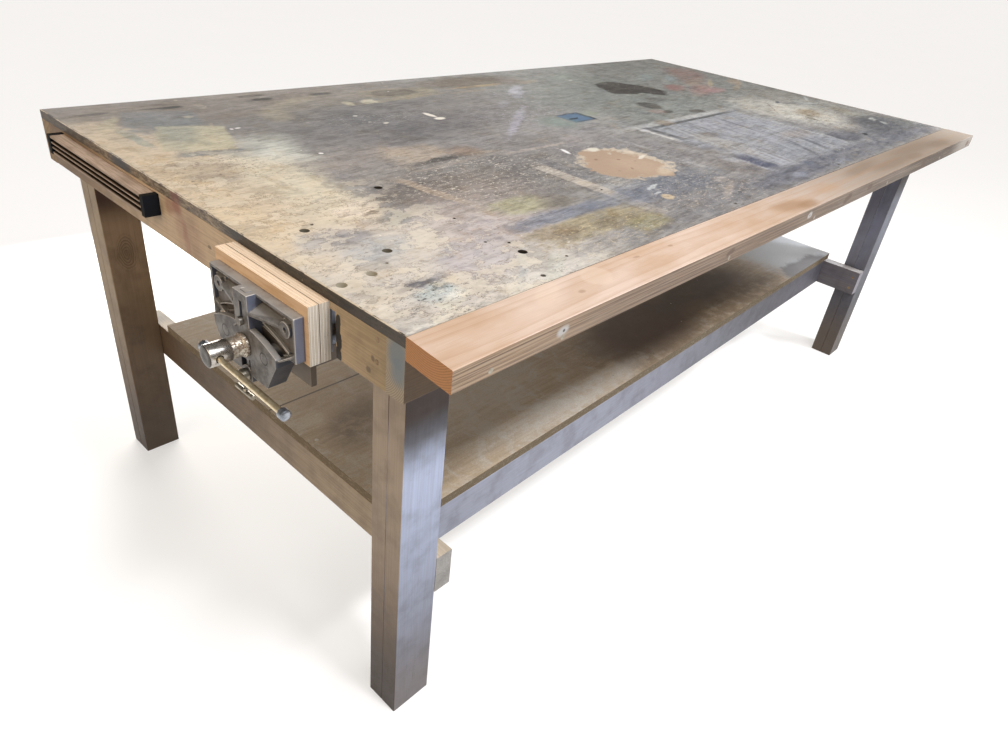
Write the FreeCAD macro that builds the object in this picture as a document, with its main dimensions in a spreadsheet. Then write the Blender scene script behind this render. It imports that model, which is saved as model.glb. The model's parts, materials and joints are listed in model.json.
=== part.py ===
import FreeCAD, Part
import os
import re
import Sketcher
from FreeCAD import Placement, Rotation, Vector

# Assembly table: a plywood top on a timber frame, with a lower shelf and a quick-release vise
# on its left end. X runs along the table, Y from the front edge to the back, Z up. Places are
# written from the top's front left corner at floor level; the part's origin is the middle of
# its footprint on the floor.

SIZES = (
    # top
    ("top_long", 2440, "sheet of the top along X"),
    ("top_deep", 1220, "sheet of the top along Y"),
    ("table_high", 900, "floor to the top's surface"),
    ("top_thick", 18, "plywood of the top"),
    ("band_thick", 3, "black edging on the two ends of the top"),
    ("plank_wide", 95, "front plank, out from the plywood's edge"),
    ("plank_thick", 36, "front plank, up and down"),
    ("plank_skew", 8, "how far the plank's left end is off square"),
    ("hole_radius", 8.5, "old dowel holes in the top"),
    ("pilot_radius", 3, "old screw holes in the top"),
    ("hole_deep", 11, "depth of the old holes"),
    # timber of the frame
    ("board_thick", 38, "frame timber, thin side"),
    ("board_wide", 89, "frame timber, wide side"),
    ("arris", 2, "rounding along the frame timber"),
    # shelf
    ("crossbar_high", 375, "floor to the top of the crossbars and shelf rails"),
    ("shelf_thick", 21, "plywood of the shelf"),
    ("setback_left", 93, "front rail behind the legs' front faces, left end"),
    ("setback_right", 141, "front rail behind the legs' front faces, right end"),
    ("setback_back", 126, "back rail in front of the legs' back faces"),
    ("shelf_seam", 547, "seam of the two shelf panels behind the legs' front faces"),
    # fasteners
    ("screw_head", 4.5, "countersunk head, radius"),
    ("screw_shank", 2.5, "countersunk screw, shank radius"),
    ("screw_reach", 80, "length of the frame screws"),
    ("panel_reach", 55, "length of the top and shelf screws"),
    ("screw_play", 0.1, "room around a screw in its hole"),
    # slotted rail on the left end apron
    ("track_drop", 23, "slotted rail below the top's surface"),
    ("track_start", 690, "front end of the slotted rail from the front edge"),
    ("track_long", 410, "slotted rail without its caps"),
    ("track_deep", 28, "slotted rail out from the apron"),
    ("track_lip", 4, "top and bottom lips of the slotted rail"),
    ("track_fin", 2.5, "the two fins between its slots"),
    ("slot_high", 8, "height of each slot"),
    ("slot_deep", 12, "depth of each slot"),
    ("cap_long", 13, "end caps of the slotted rail"),
    ("cap_proud", 1.2, "end caps stand this far out all round"),
    # vise
    ("vise_centre", 288, "vise from the front edge of the plywood"),
    ("vise_drop", 124, "screw axis below the top's surface"),
    ("jaw_top_drop", 36, "top of the cast jaws below the top's surface"),
    ("jaw_wide", 230, "cast jaws"),
    ("jaw_high", 74, "plate of the cast jaws"),
    ("plate_deep", 17, "plate of the moving jaw"),
    ("pocket_deep", 10, "recess in the front of the plate"),
    ("rim", 6, "rim around the recess"),
    ("boss_proud", 15.5, "middle of the moving jaw in front of its plate"),
    ("boss_wide", 38, "housing of the dog"),
    ("skirt_half", 87, "skirt of the moving jaw, half its width"),
    ("skirt_foot", 58, "skirt at its foot, half its width"),
    ("skirt_low", 51, "foot of the skirt below the screw"),
    ("skirt_radius", 149, "round top of the skirt"),
    ("skirt_rise", 35, "top of the skirt above the screw"),
    ("fixed_deep", 10, "plate of the fixed jaw"),
    ("notch_front", 23, "cut-out of the apron in front of the fixed jaw's end"),
    ("notch_back", 2, "cut-out of the apron behind the fixed jaw's end"),
    ("notch_cover", 12, "apron left above the cut-out"),
    ("liner_thick", 18, "plywood jaw liners"),
    ("liner_long", 250, "plywood jaw liners along Y"),
    ("liner_high", 97, "plywood jaw liners"),
    ("liner_screw_out", 91, "liner screws from the middle"),
    ("liner_screw_drop", 27, "liner screws below the jaws' top"),
    ("play", 0.3, "room between parts that move"),
    ("running", 0.05, "running fit of shafts, on the radius"),
    ("rod_radius", 9, "guide rods"),
    ("rod_out", 54, "guide rods from the screw"),
    ("rod_rear", 290, "rear end of the guide rods behind the apron's face"),
    ("body_long", 85, "guide tubes of the vise body"),
    ("tube_wall", 7, "wall of the guide tubes"),
    ("flange_deep", 140, "mounting flange of the vise body"),
    ("flange_wide", 152, "mounting flange of the vise body"),
    ("flange_thick", 8, "mounting flange of the vise body"),
    ("block_wide", 48, "middle block of the vise body"),
    ("thread_radius", 11, "lead screw over its thread"),
    ("journal_radius", 12, "lead screw in the moving jaw"),
    ("tail_radius", 8, "lead screw in the tie plate"),
    ("thrust_radius", 19.5, "thrust flange of the lead screw"),
    ("thrust_long", 6.2, "thrust flange of the lead screw"),
    ("neck_radius", 16.5, "neck of the lead screw"),
    ("neck_long", 20, "neck of the lead screw"),
    ("hub_radius", 18, "handle hub"),
    ("hub_long", 36, "handle hub"),
    ("spigot_long", 15, "lead screw in the hub"),
    ("collar_radius", 15, "collar behind the moving jaw"),
    ("collar_long", 6, "collar behind the moving jaw"),
    ("bar_radius", 5, "tommy bar"),
    ("bar_long", 193, "tommy bar between its knobs"),
    ("bar_set", 14, "tommy bar behind the front of the hub"),
    ("bar_tilt", 1.6, "tommy bar down towards the front, degrees"),
    ("knob_radius", 8.5, "knobs of the tommy bar"),
    ("knob_long", 14, "knobs of the tommy bar"),
    ("dog_wide", 16, "front dog"),
    ("dog_deep", 12, "front dog"),
    ("dog_high", 62, "front dog"),
    ("dog_lift", 28, "travel of the front dog"),
    ("dog_wall", 6.5, "front wall of the dog's housing"),
    ("clamp_drop", 47, "clamp screw below the jaw's top"),
    ("clamp_radius", 3, "clamp screw"),
    ("clamp_head", 7, "head of the clamp screw, radius"),
    ("clamp_thick", 6, "head of the clamp screw"),
    ("clamp_arm", 22, "arm of the clamp screw"),
    ("clamp_angle", 40, "arm of the clamp screw below level, degrees"),
    ("release_drop", 54, "release rod below the screw"),
    ("release_radius", 9, "release rod"),
    ("release_flat", 6, "flat of the release rod from its axis"),
    ("release_turn", 50, "turn of the release lever, degrees"),
    ("release_boss", 16, "boss of the moving jaw round the release rod"),
    ("lever_boss", 11, "boss of the release lever, radius"),
    ("lever_long", 12, "boss of the release lever"),
    ("lever_drop", 30, "grip of the release lever below its axis"),
    ("lever_wide", 48, "grip of the release lever"),
    ("lever_grip", 8, "grip of the release lever, thick"),
    ("nut_wide", 28, "half nut"),
    ("nut_long", 30, "half nut"),
    ("nut_high", 30, "half nut"),
    ("nut_foot", 3, "round foot of the half nut, radius"),
    ("nut_back", 32, "half nut behind the fixed jaw's front"),
    ("spring_wire", 2, "return spring, wire diameter"),
    ("spring_pitch", 2.8, "return spring, pitch"),
    ("spring_turns", 3, "return spring, turns"),
    ("plate_thick", 8, "tie plate"),
    ("plate_rim", 18, "tie plate round the guide rods"),
    ("bolt_radius", 4, "bolts of the vise"),
    ("bolt_head", 7.5, "heads of the bolts, radius"),
    ("bolt_thick", 6, "heads of the bolts"),
    ("bolt_out", 65, "mounting bolts from the middle"),
)

ALIASES = {alias for alias, number, note in SIZES}

doc = FreeCAD.newDocument("AssemblyTable")
sheet = doc.addObject("Spreadsheet::Sheet", "Sizes")
for row, (alias, number, note) in enumerate(SIZES, start=1):
    sheet.set(f"A{row}", alias)
    sheet.set(f"B{row}", str(number))
    sheet.set(f"C{row}", note)
    sheet.setAlias(f"B{row}", alias)
doc.recompute()

# Places that several pieces share, as sheet formulas
TOP_UNDER = "(table_high - top_thick)"
APRON_LOW = f"({TOP_UNDER} - board_wide)"
INNER_Y = "(top_deep - board_thick)"
LEG_RIGHT = "(top_long - board_thick - board_wide)"
BAR_LEFT = "(board_thick + board_wide)"
BAR_RIGHT = f"({LEG_RIGHT} - board_thick)"
RAIL_LEFT = f"({BAR_LEFT} + board_thick)"
RAIL_LOW = "(crossbar_high - board_wide)"
RAIL_SLOPE = f"((setback_right - setback_left) / ({BAR_RIGHT} - {RAIL_LEFT}))"
SHELF_BACK = f"({INNER_Y} - setback_back)"
SCREW_Z = "(table_high - vise_drop)"
RELEASE_Z = f"({SCREW_Z} - release_drop)"
JAW_TOP = "(table_high - jaw_top_drop)"
CAST_BACK = "(-2 * liner_thick - play)"
PLATE_FRONT = f"({CAST_BACK} - plate_deep)"
BOSS_FRONT = f"({PLATE_FRONT} - boss_proud)"
THRUST_FRONT = f"({BOSS_FRONT} - play - thrust_long)"
NECK_FRONT = f"({THRUST_FRONT} - neck_long)"
HUB_FRONT = f"({NECK_FRONT} - hub_long)"
FLANGE_TOP = f"({TOP_UNDER} - board_thick)"
ORIGIN_X = f"((top_long + {HUB_FRONT}) / 2)"
ORIGIN_Y = "((top_deep - plank_wide) / 2)"

AXES = {
    "+x": Vector(1, 0, 0),
    "-x": Vector(-1, 0, 0),
    "+y": Vector(0, 1, 0),
    "-y": Vector(0, -1, 0),
    "+z": Vector(0, 0, 1),
    "-z": Vector(0, 0, -1),
}

nodes = {}


def formula(text):
    """A sheet formula from a size written with the sheet's aliases."""
    named = re.sub(r"[a-z_]+", lambda m: f"Sizes.{m[0]}" if m[0] in ALIASES else m[0], str(text))
    return named


def value(text):
    """The number that a size text has now."""
    return float(sheet.evalExpression(formula(text)))


def locate(obj, place):
    """Put an object at a place written from the top's front left corner."""
    for axis, text, origin in zip("xyz", place, (ORIGIN_X, ORIGIN_Y, "0")):
        obj.setExpression(f".Placement.Base.{axis}", formula(f"({text}) - {origin}"))
    return obj


def box(name, place, size):
    made = doc.addObject("Part::Box", name)
    for side, text in zip(("Length", "Width", "Height"), size):
        made.setExpression(side, formula(text))
    return locate(made, place)


def rod(name, place, radius, length, way, turn=None):
    """A cylinder from the middle of its first end, along one of the axes."""
    made = doc.addObject("Part::Cylinder", name)
    made.setExpression("Radius", formula(radius))
    made.setExpression("Height", formula(length))
    made.Placement = Placement(Vector(), turn or Rotation(Vector(0, 0, 1), AXES[way]))
    return locate(made, place)


def cone(name, place, first, last, length, way):
    made = doc.addObject("Part::Cone", name)
    made.setExpression("Radius1", formula(first))
    made.setExpression("Radius2", formula(last))
    made.setExpression("Height", formula(length))
    made.Placement = Placement(Vector(), Rotation(Vector(0, 0, 1), AXES[way]))
    return locate(made, place)


def joined(name, pieces):
    made = doc.addObject("Part::MultiFuse", name)
    made.Shapes = pieces
    made.Refine = True
    return made


def group(name, pieces):
    made = doc.addObject("Part::Compound", name)
    made.Links = pieces
    return made


def cut(name, base, tools):
    """The base without its tools."""
    made = doc.addObject("Part::Cut", name)
    made.Base = base
    made.Tool = tools[0] if len(tools) == 1 else group(f"{name}_tools", tools)
    return made


def common(name, base, tool):
    made = doc.addObject("Part::Common", name)
    made.Base = base
    made.Tool = tool
    return made


def padded(name, plane, corners, place, length):
    """A sketched outline padded along its plane's normal: xy goes up, yz goes to the right."""
    body = doc.addObject("PartDesign::Body", f"{name}_body")
    sketch = body.newObject("Sketcher::SketchObject", f"{name}_outline")
    role = {"xy": "XY_Plane", "yz": "YZ_Plane"}[plane]
    support = next(part for part in body.Origin.OriginFeatures if part.Role == role)
    sketch.AttachmentSupport = [(support, "")]
    sketch.MapMode = "FlatFace"
    spots = [Vector(value(u), value(v), 0) for u, v in corners]
    count = len(spots)
    for i in range(count):
        sketch.addGeometry(Part.LineSegment(spots[i], spots[(i + 1) % count]))
    for i in range(count):
        sketch.addConstraint(Sketcher.Constraint("Coincident", i, 2, (i + 1) % count, 1))
    for i, corner in enumerate(corners):
        for kind, text in zip(("DistanceX", "DistanceY"), corner):
            number = sketch.addConstraint(Sketcher.Constraint(kind, i, 1, value(text)))
            sketch.setExpression(f"Constraints[{number}]", formula(text))
    pad = body.newObject("PartDesign::Pad", f"{name}_pad")
    pad.Profile = sketch
    pad.setExpression("Length", formula(length))
    return locate(body, place)


def eased(name, base):
    """A piece of timber with its long edges rounded."""
    doc.recompute()
    longest = max(edge.Length for edge in base.Shape.Edges)
    radius = value("arris")
    made = doc.addObject("Part::Fillet", name)
    made.Base = base
    made.Edges = [
        (i, radius, radius)
        for i, edge in enumerate(base.Shape.Edges, start=1)
        if edge.Length > 0.9 * longest
    ]
    return made


def board(name, place, size):
    return eased(f"{name}_board", box(f"{name}_blank", place, size))


def screws(name, spots, reach):
    """Countersunk screws, and the holes for them. Each spot is a head's place and its way in."""
    solids, holes = [], []
    for number, (place, way) in enumerate(spots, start=1):
        for kind, room, made in (("screw", "0", solids), ("hole", "screw_play", holes)):
            label = f"{name}_{kind}_{number}"
            head = cone(
                f"{label}_head",
                place,
                f"screw_head + {room}",
                f"screw_shank + {room}",
                "screw_head - screw_shank",
                way,
            )
            shank = rod(f"{label}_shank", place, f"screw_shank + {room}", f"{reach} + {room}", way)
            made.append(joined(label, [head, shank]))
    return group(name, solids), group(f"{name}_holes", holes)


def keep(name, obj):
    """Make an object a piece of the part."""
    obj.Label = name
    nodes[name] = obj
    return obj


def make_top():
    """Plywood sheet, edging and front plank, with the screws that hold them."""
    dowel_holes = ((325, 464), (151, 223), (79, 170), (21, 164), (90, 357), (335, 100))
    pilot_holes = ((114, 372), (121, 187), (341, 270), (311, 163), (344, 139), (386, 47), (728, 228))
    joist_places = [f"top_long * {k} / 4" for k in (1, 2, 3)]
    top_spots = []
    for share in (0.12, 0.38, 0.62, 0.88):
        for edge in ("board_thick / 2", f"{INNER_Y} + board_thick / 2"):
            top_spots.append(((f"top_long * {share}", edge, "table_high"), "-z"))
    for joist in joist_places:
        for share in (0.3, 0.7):
            top_spots.append(((joist, f"top_deep * {share}", "table_high"), "-z"))
    top_screws, top_holes = screws("top_screws", top_spots, "panel_reach")

    plank_level = "(table_high - (top_thick + plank_thick) / 2)"
    plank_spots = [
        ((f"top_long * {share}", "-plank_wide", plank_level), "+y")
        for share in (0.025, 0.085, 0.287, 0.45, 0.65, 0.85, 0.97)
    ]
    plank_screws, plank_holes = screws("plank_screws", plank_spots, "(plank_wide + board_thick / 2)")

    sheet_size = ("top_long - 2 * band_thick", "top_deep", "top_thick")
    blank = box("top_blank", ("band_thick", "0", TOP_UNDER), sheet_size)
    old_holes = [
        rod("old_hole", (x, y, "table_high"), radius, "hole_deep", "-z")
        for places, radius in ((dowel_holes, "hole_radius"), (pilot_holes, "pilot_radius"))
        for x, y in places
    ]
    packing_holes = mounting_holes("top_bolt_holes")
    keep("top_panel", cut("top_panel", blank, [*old_holes, top_holes, packing_holes]))
    band_size = ("band_thick", "top_deep", "top_thick")
    keep("edge_band_left", box("edge_band_left", ("0", "0", TOP_UNDER), band_size))
    right_end = ("top_long - band_thick", "0", TOP_UNDER)
    keep("edge_band_right", box("edge_band_right", right_end, band_size))

    outline = [("0", "0"), ("-plank_skew", "-plank_wide"), ("top_long", "-plank_wide"), ("top_long", "0")]
    plank_low = ("0", "0", "table_high - plank_thick")
    plank = eased("plank_eased", padded("plank", "xy", outline, plank_low, "plank_thick"))
    keep("front_plank", cut("front_plank", plank, [plank_holes]))
    keep("top_screws", top_screws)
    keep("plank_screws", plank_screws)
    return joist_places, top_holes, plank_holes


def mounting_spots():
    """Places of the four mounting bolts of the vise, under its flange."""
    low = f"{FLANGE_TOP} - flange_thick"
    return [
        (f"fixed_deep + (flange_deep - fixed_deep) * {share}", f"vise_centre {side} bolt_out", low)
        for share in (0.35, 0.85)
        for side in "-+"
    ]


def mounting_holes(name):
    """Clearance holes for the mounting bolts, from the flange up into the plywood."""
    reach = "flange_thick + board_thick + top_thick * 0.6 + screw_play"
    holes = [
        rod(f"{name}_{n}", place, "bolt_radius + screw_play", reach, "+z")
        for n, place in enumerate(mounting_spots(), start=1)
    ]
    return group(name, holes)


def make_frame(joist_places, top_holes, plank_holes):
    """Aprons and joists under the top, and the eight boards of the four legs."""
    inner_deep = f"({INNER_Y} - board_thick)"
    leg_high = TOP_UNDER
    front_mid = "board_thick + board_wide / 2"
    back_mid = f"{LEG_RIGHT} + board_wide / 2"
    spots = []
    for mid in (front_mid, back_mid):
        for level in (0.3, 0.72):
            height = f"{APRON_LOW} + board_wide * {level}"
            spots.append(((mid, "0", height), "+y"))
            spots.append(((mid, "top_deep", height), "-y"))
    for near_leg in ("board_thick * 1.5", f"{INNER_Y} - board_thick / 2"):
        for level in (0.45, 0.85):
            height = f"{APRON_LOW} + board_wide * {level}"
            spots.append((("0", near_leg, height), "+x"))
            spots.append((("top_long", near_leg, height), "-x"))
    apron_screws, apron_holes = screws("apron_screws", spots, "screw_reach")

    long_size = ("top_long", "board_thick", "board_wide")
    front = board("front_apron", ("0", "0", APRON_LOW), long_size)
    back = board("back_apron", ("0", INNER_Y, APRON_LOW), long_size)
    keep("front_apron", cut("front_apron", front, [top_holes, plank_holes, apron_holes]))
    keep("back_apron", cut("back_apron", back, [top_holes, apron_holes]))

    end_size = ("board_thick", inner_deep, "board_wide")
    left = board("left_apron", ("0", "board_thick", APRON_LOW), end_size)
    notch = box(
        "vise_notch",
        ("-1", "vise_centre - jaw_wide / 2 - notch_front", f"{APRON_LOW} - 1"),
        ("board_thick + 2", "jaw_wide + notch_front + notch_back", "board_wide - notch_cover + 1"),
    )
    keep("left_apron", cut("left_apron", left, [notch, apron_holes]))
    right = board("right_apron", ("top_long - board_thick", "board_thick", APRON_LOW), end_size)
    keep("right_apron", cut("right_apron", right, [apron_holes]))

    for number, middle in enumerate(joist_places, start=1):
        name = f"joist_{number}"
        place = (f"{middle} - board_thick / 2", "board_thick", APRON_LOW)
        timber = board(name, place, end_size)
        keep(name, cut(name, timber, [top_holes]))

    crossbar_spots = []
    for side, head, way in (("left", RAIL_LEFT, "-x"), ("right", BAR_RIGHT, "+x")):
        for near_leg in ("board_thick * 1.5", f"{INNER_Y} - board_thick / 2"):
            for level in (0.25, 0.72):
                crossbar_spots.append(((head, near_leg, f"{RAIL_LOW} + board_wide * {level}"), way))
    crossbar_screws, crossbar_holes = screws("crossbar_screws", crossbar_spots, "screw_reach")

    leg_size = ("board_wide", "board_thick", leg_high)
    for side, across in (("left", "board_thick"), ("right", LEG_RIGHT)):
        for end, outer, inner in (
            ("front", "board_thick", "board_thick * 2"),
            ("back", f"{INNER_Y} - board_thick", f"{INNER_Y} - board_thick * 2"),
        ):
            for layer, along in (("outer", outer), ("inner", inner)):
                name = f"leg_{end}_{side}_{layer}"
                timber = board(name, (across, along, "0"), leg_size)
                keep(name, cut(name, timber, [apron_holes, crossbar_holes]))
    keep("apron_screws", apron_screws)
    keep("crossbar_screws", crossbar_screws)
    return crossbar_holes


def rail_front(across):
    """Y of the front rail's front face at a place along X: the rail stands a little askew."""
    return f"(board_thick + setback_left + ({across} - {RAIL_LEFT}) * {RAIL_SLOPE})"


def make_shelf(crossbar_holes):
    """Crossbars on the legs, rails and joists between them, and the two shelf panels."""
    panel_top = "crossbar_high + shelf_thick"
    shelf_joists = [f"({RAIL_LEFT} + ({BAR_RIGHT} - {RAIL_LEFT}) * {k} / 3)" for k in (1, 2)]
    spots = []
    for across in (f"{BAR_LEFT} + board_thick / 2", *shelf_joists, f"{BAR_RIGHT} + board_thick / 2"):
        for along in ("board_thick + shelf_seam - 150", "board_thick + shelf_seam + 150"):
            spots.append(((across, along, panel_top), "-z"))
    shelf_screws, shelf_holes = screws("shelf_screws", spots, "panel_reach")

    bar_size = ("board_thick", f"{INNER_Y} - board_thick", "board_wide")
    for name, across in (("crossbar_left", BAR_LEFT), ("crossbar_right", BAR_RIGHT)):
        timber = board(name, (across, "board_thick", RAIL_LOW), bar_size)
        keep(name, cut(name, timber, [crossbar_holes, shelf_holes]))

    left_front = rail_front(RAIL_LEFT)
    right_front = rail_front(BAR_RIGHT)
    outline = [
        (RAIL_LEFT, left_front),
        (BAR_RIGHT, right_front),
        (BAR_RIGHT, f"{right_front} + board_thick"),
        (RAIL_LEFT, f"{left_front} + board_thick"),
    ]
    low = ("0", "0", RAIL_LOW)
    keep("shelf_rail_front", eased("shelf_rail_front", padded("rail", "xy", outline, low, "board_wide")))
    back_size = (f"{BAR_RIGHT} - {RAIL_LEFT}", "board_thick", "board_wide")
    back_place = (RAIL_LEFT, f"{SHELF_BACK} - board_thick", RAIL_LOW)
    keep("shelf_rail_back", board("shelf_rail_back", back_place, back_size))

    for number, middle in enumerate(shelf_joists, start=1):
        name = f"shelf_joist_{number}"
        near, far = f"({middle} - board_thick / 2)", f"({middle} + board_thick / 2)"
        outline = [
            (near, f"{rail_front(near)} + board_thick"),
            (far, f"{rail_front(far)} + board_thick"),
            (far, f"{SHELF_BACK} - board_thick"),
            (near, f"{SHELF_BACK} - board_thick"),
        ]
        keep(name, cut(name, padded(name, "xy", outline, low, "board_wide"), [shelf_holes]))

    seam = "(board_thick + shelf_seam)"
    shelf_end = f"({BAR_RIGHT} + board_thick)"
    outline = [
        (BAR_LEFT, rail_front(BAR_LEFT)),
        (shelf_end, rail_front(shelf_end)),
        (shelf_end, f"{seam} - play"),
        (BAR_LEFT, f"{seam} - play"),
    ]
    level = ("0", "0", "crossbar_high")
    front = padded("shelf_front", "xy", outline, level, "shelf_thick")
    keep("shelf_panel_front", cut("shelf_panel_front", front, [shelf_holes]))
    back_size = (f"{shelf_end} - {BAR_LEFT}", f"{SHELF_BACK} - {seam}", "shelf_thick")
    back = box("shelf_back_blank", (BAR_LEFT, seam, "crossbar_high"), back_size)
    keep("shelf_panel_back", cut("shelf_panel_back", back, [shelf_holes]))
    keep("shelf_screws", shelf_screws)


def make_track():
    """Slotted rail on the left end apron, with a cap on each end."""
    track_high = "(2 * track_lip + 2 * track_fin + 3 * slot_high)"
    low = f"(table_high - track_drop - {track_high})"
    blank = box(
        "track_blank",
        ("-track_deep", "track_start", low),
        ("track_deep", "track_long", track_high),
    )
    slots = [
        box(
            f"track_slot_{k + 1}",
            ("-track_deep - 1", "track_start - 1", f"{low} + track_lip + {k} * (slot_high + track_fin)"),
            ("slot_deep + 1", "track_long + 2", "slot_high"),
        )
        for k in range(3)
    ]
    keep("slotted_rail", cut("slotted_rail", blank, slots))
    cap_size = ("track_deep + cap_proud", "cap_long", f"{track_high} + 2 * cap_proud")
    for name, along in (
        ("rail_cap_front", "track_start - cap_long"),
        ("rail_cap_back", "track_start + track_long"),
    ):
        place = ("-track_deep - cap_proud", along, f"{low} - cap_proud")
        keep(name, box(name, place, cap_size))


def liner(name, front):
    """A plywood jaw liner with room below for the screw and the guide rods."""
    blank = box(
        f"{name}_blank",
        (front, "vise_centre - liner_long / 2", f"{TOP_UNDER} - liner_high"),
        ("liner_thick", "liner_long", "liner_high"),
    )
    start = f"({front} - 1)"
    through = "liner_thick + 2"
    room = [rod(f"{name}_room", (start, "vise_centre", SCREW_Z), "collar_radius + 1", through, "+x")]
    for side in "-+":
        place = (start, f"vise_centre {side} rod_out", SCREW_Z)
        room.append(rod(f"{name}_rod_room", place, "rod_radius + 2", through, "+x"))
    return cut(f"{name}_shaped", blank, room)


def liner_spots(front):
    level = f"{JAW_TOP} - liner_screw_drop"
    return [(front, f"vise_centre {side} liner_screw_out", level) for side in "-+"]


def guide_holes(name, start, length, room):
    """Holes for the two guide rods."""
    return [
        rod(f"{name}_{n}", (start, f"vise_centre {side} rod_out", SCREW_Z), f"rod_radius + {room}", length, "+x")
        for n, side in enumerate("-+", start=1)
    ]


def make_vise_body():
    """What stays on the table: packing block, body casting, inner liner and half nut."""
    packer = box(
        "packer_blank",
        ("board_thick", "vise_centre - flange_wide / 2", FLANGE_TOP),
        ("flange_deep - board_thick", "flange_wide", "board_thick"),
    )
    keep("vise_packer", cut("vise_packer", packer, [mounting_holes("packer_bolt_holes")]))

    tube_radius = "(rod_radius + tube_wall)"
    plate_low = f"{JAW_TOP} - jaw_high"
    wall_half = f"(rod_out + {tube_radius})"
    castings = [
        box("fixed_plate", ("0", "vise_centre - jaw_wide / 2", plate_low), ("fixed_deep", "jaw_wide", "jaw_high")),
        box(
            "fixed_wall",
            ("0", f"vise_centre - {wall_half}", f"{RELEASE_Z} - release_boss"),
            ("fixed_deep", f"2 * {wall_half}", f"{SCREW_Z} - {RELEASE_Z} + release_boss + {tube_radius}"),
        ),
        box(
            "fixed_block",
            ("0", "vise_centre - block_wide / 2", f"{RELEASE_Z} - release_boss"),
            ("body_long", "block_wide", f"{FLANGE_TOP} - {RELEASE_Z} + release_boss"),
        ),
        box(
            "fixed_flange",
            ("0", "vise_centre - flange_wide / 2", f"{FLANGE_TOP} - flange_thick"),
            ("flange_deep", "flange_wide", "flange_thick"),
        ),
    ]
    for side, web in (("-", f"rod_out - {tube_radius} / 4"), ("+", f"rod_out - {tube_radius} * 3 / 4")):
        tube_place = ("0", f"vise_centre {side} rod_out", SCREW_Z)
        castings.append(rod(f"guide_tube_{len(castings)}", tube_place, tube_radius, "body_long", "+x"))
        web_place = ("0", f"vise_centre {side} ({web})", SCREW_Z)
        web_size = ("body_long", f"{tube_radius} / 2", f"{FLANGE_TOP} - {SCREW_Z}")
        castings.append(box(f"guide_web_{len(castings)}", web_place, web_size))
    through = "body_long + 2"
    nut_room = box(
        "nut_room",
        ("nut_back - play", "vise_centre - nut_wide / 2 - play", RELEASE_Z),
        ("nut_long + 2 * play", "nut_wide + 2 * play", f"{SCREW_Z} - {RELEASE_Z}"),
    )
    inner_screws, inner_holes = screws(
        "inner_liner_screws",
        [(place, "-x") for place in liner_spots("fixed_deep")],
        "(fixed_deep + liner_thick * 0.7)",
    )
    openings = [
        *guide_holes("body_guide", "-1", through, "running"),
        rod("body_screw_bore", ("-1", "vise_centre", SCREW_Z), "journal_radius + 1", through, "+x"),
        rod("body_release_bore", ("-1", "vise_centre", RELEASE_Z), "release_radius + play", through, "+x"),
        nut_room,
        mounting_holes("flange_bolt_holes"),
        inner_holes,
    ]
    keep("vise_body", cut("vise_body", joined("vise_body_casting", castings), openings))
    keep("inner_liner", cut("inner_liner", liner("inner_liner", "-liner_thick"), [inner_holes]))
    keep("inner_liner_screws", inner_screws)

    bolts = []
    shank = "flange_thick + board_thick + top_thick * 0.6"
    for number, place in enumerate(mounting_spots(), start=1):
        head = doc.addObject("Part::Prism", f"mounting_head_{number}")
        head.Polygon = 6
        head.setExpression("Circumradius", formula("bolt_head"))
        head.setExpression("Height", formula("bolt_thick"))
        locate(head, (place[0], place[1], f"{place[2]} - bolt_thick"))
        stem = rod(f"mounting_stem_{number}", place, "bolt_radius", shank, "+z")
        bolts.append(joined(f"mounting_bolt_{number}", [head, stem]))
    keep("vise_bolts", group("vise_bolts", bolts))

    # Block under the screw, with half a thread bore above and a round foot on the release rod
    nut_low = f"({SCREW_Z} - 2 - nut_high)"
    foot_level = f"({RELEASE_Z} + release_radius + play + nut_foot)"
    block = box(
        "nut_block",
        ("nut_back", "vise_centre - nut_wide / 2", nut_low),
        ("nut_long", "nut_wide", "nut_high"),
    )
    stem = box(
        "nut_stem",
        ("nut_back", "vise_centre - nut_foot", foot_level),
        ("nut_long", "2 * nut_foot", f"{nut_low} - {foot_level} + 1"),
    )
    foot = rod("nut_foot_round", ("nut_back", "vise_centre", foot_level), "nut_foot", "nut_long", "+x")
    bore = rod("nut_bore", ("nut_back - 1", "vise_centre", SCREW_Z), "thread_radius + play", "nut_long + 2", "+x")
    keep("half_nut", cut("half_nut", joined("nut_blank", [block, stem, foot]), [bore]))


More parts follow.
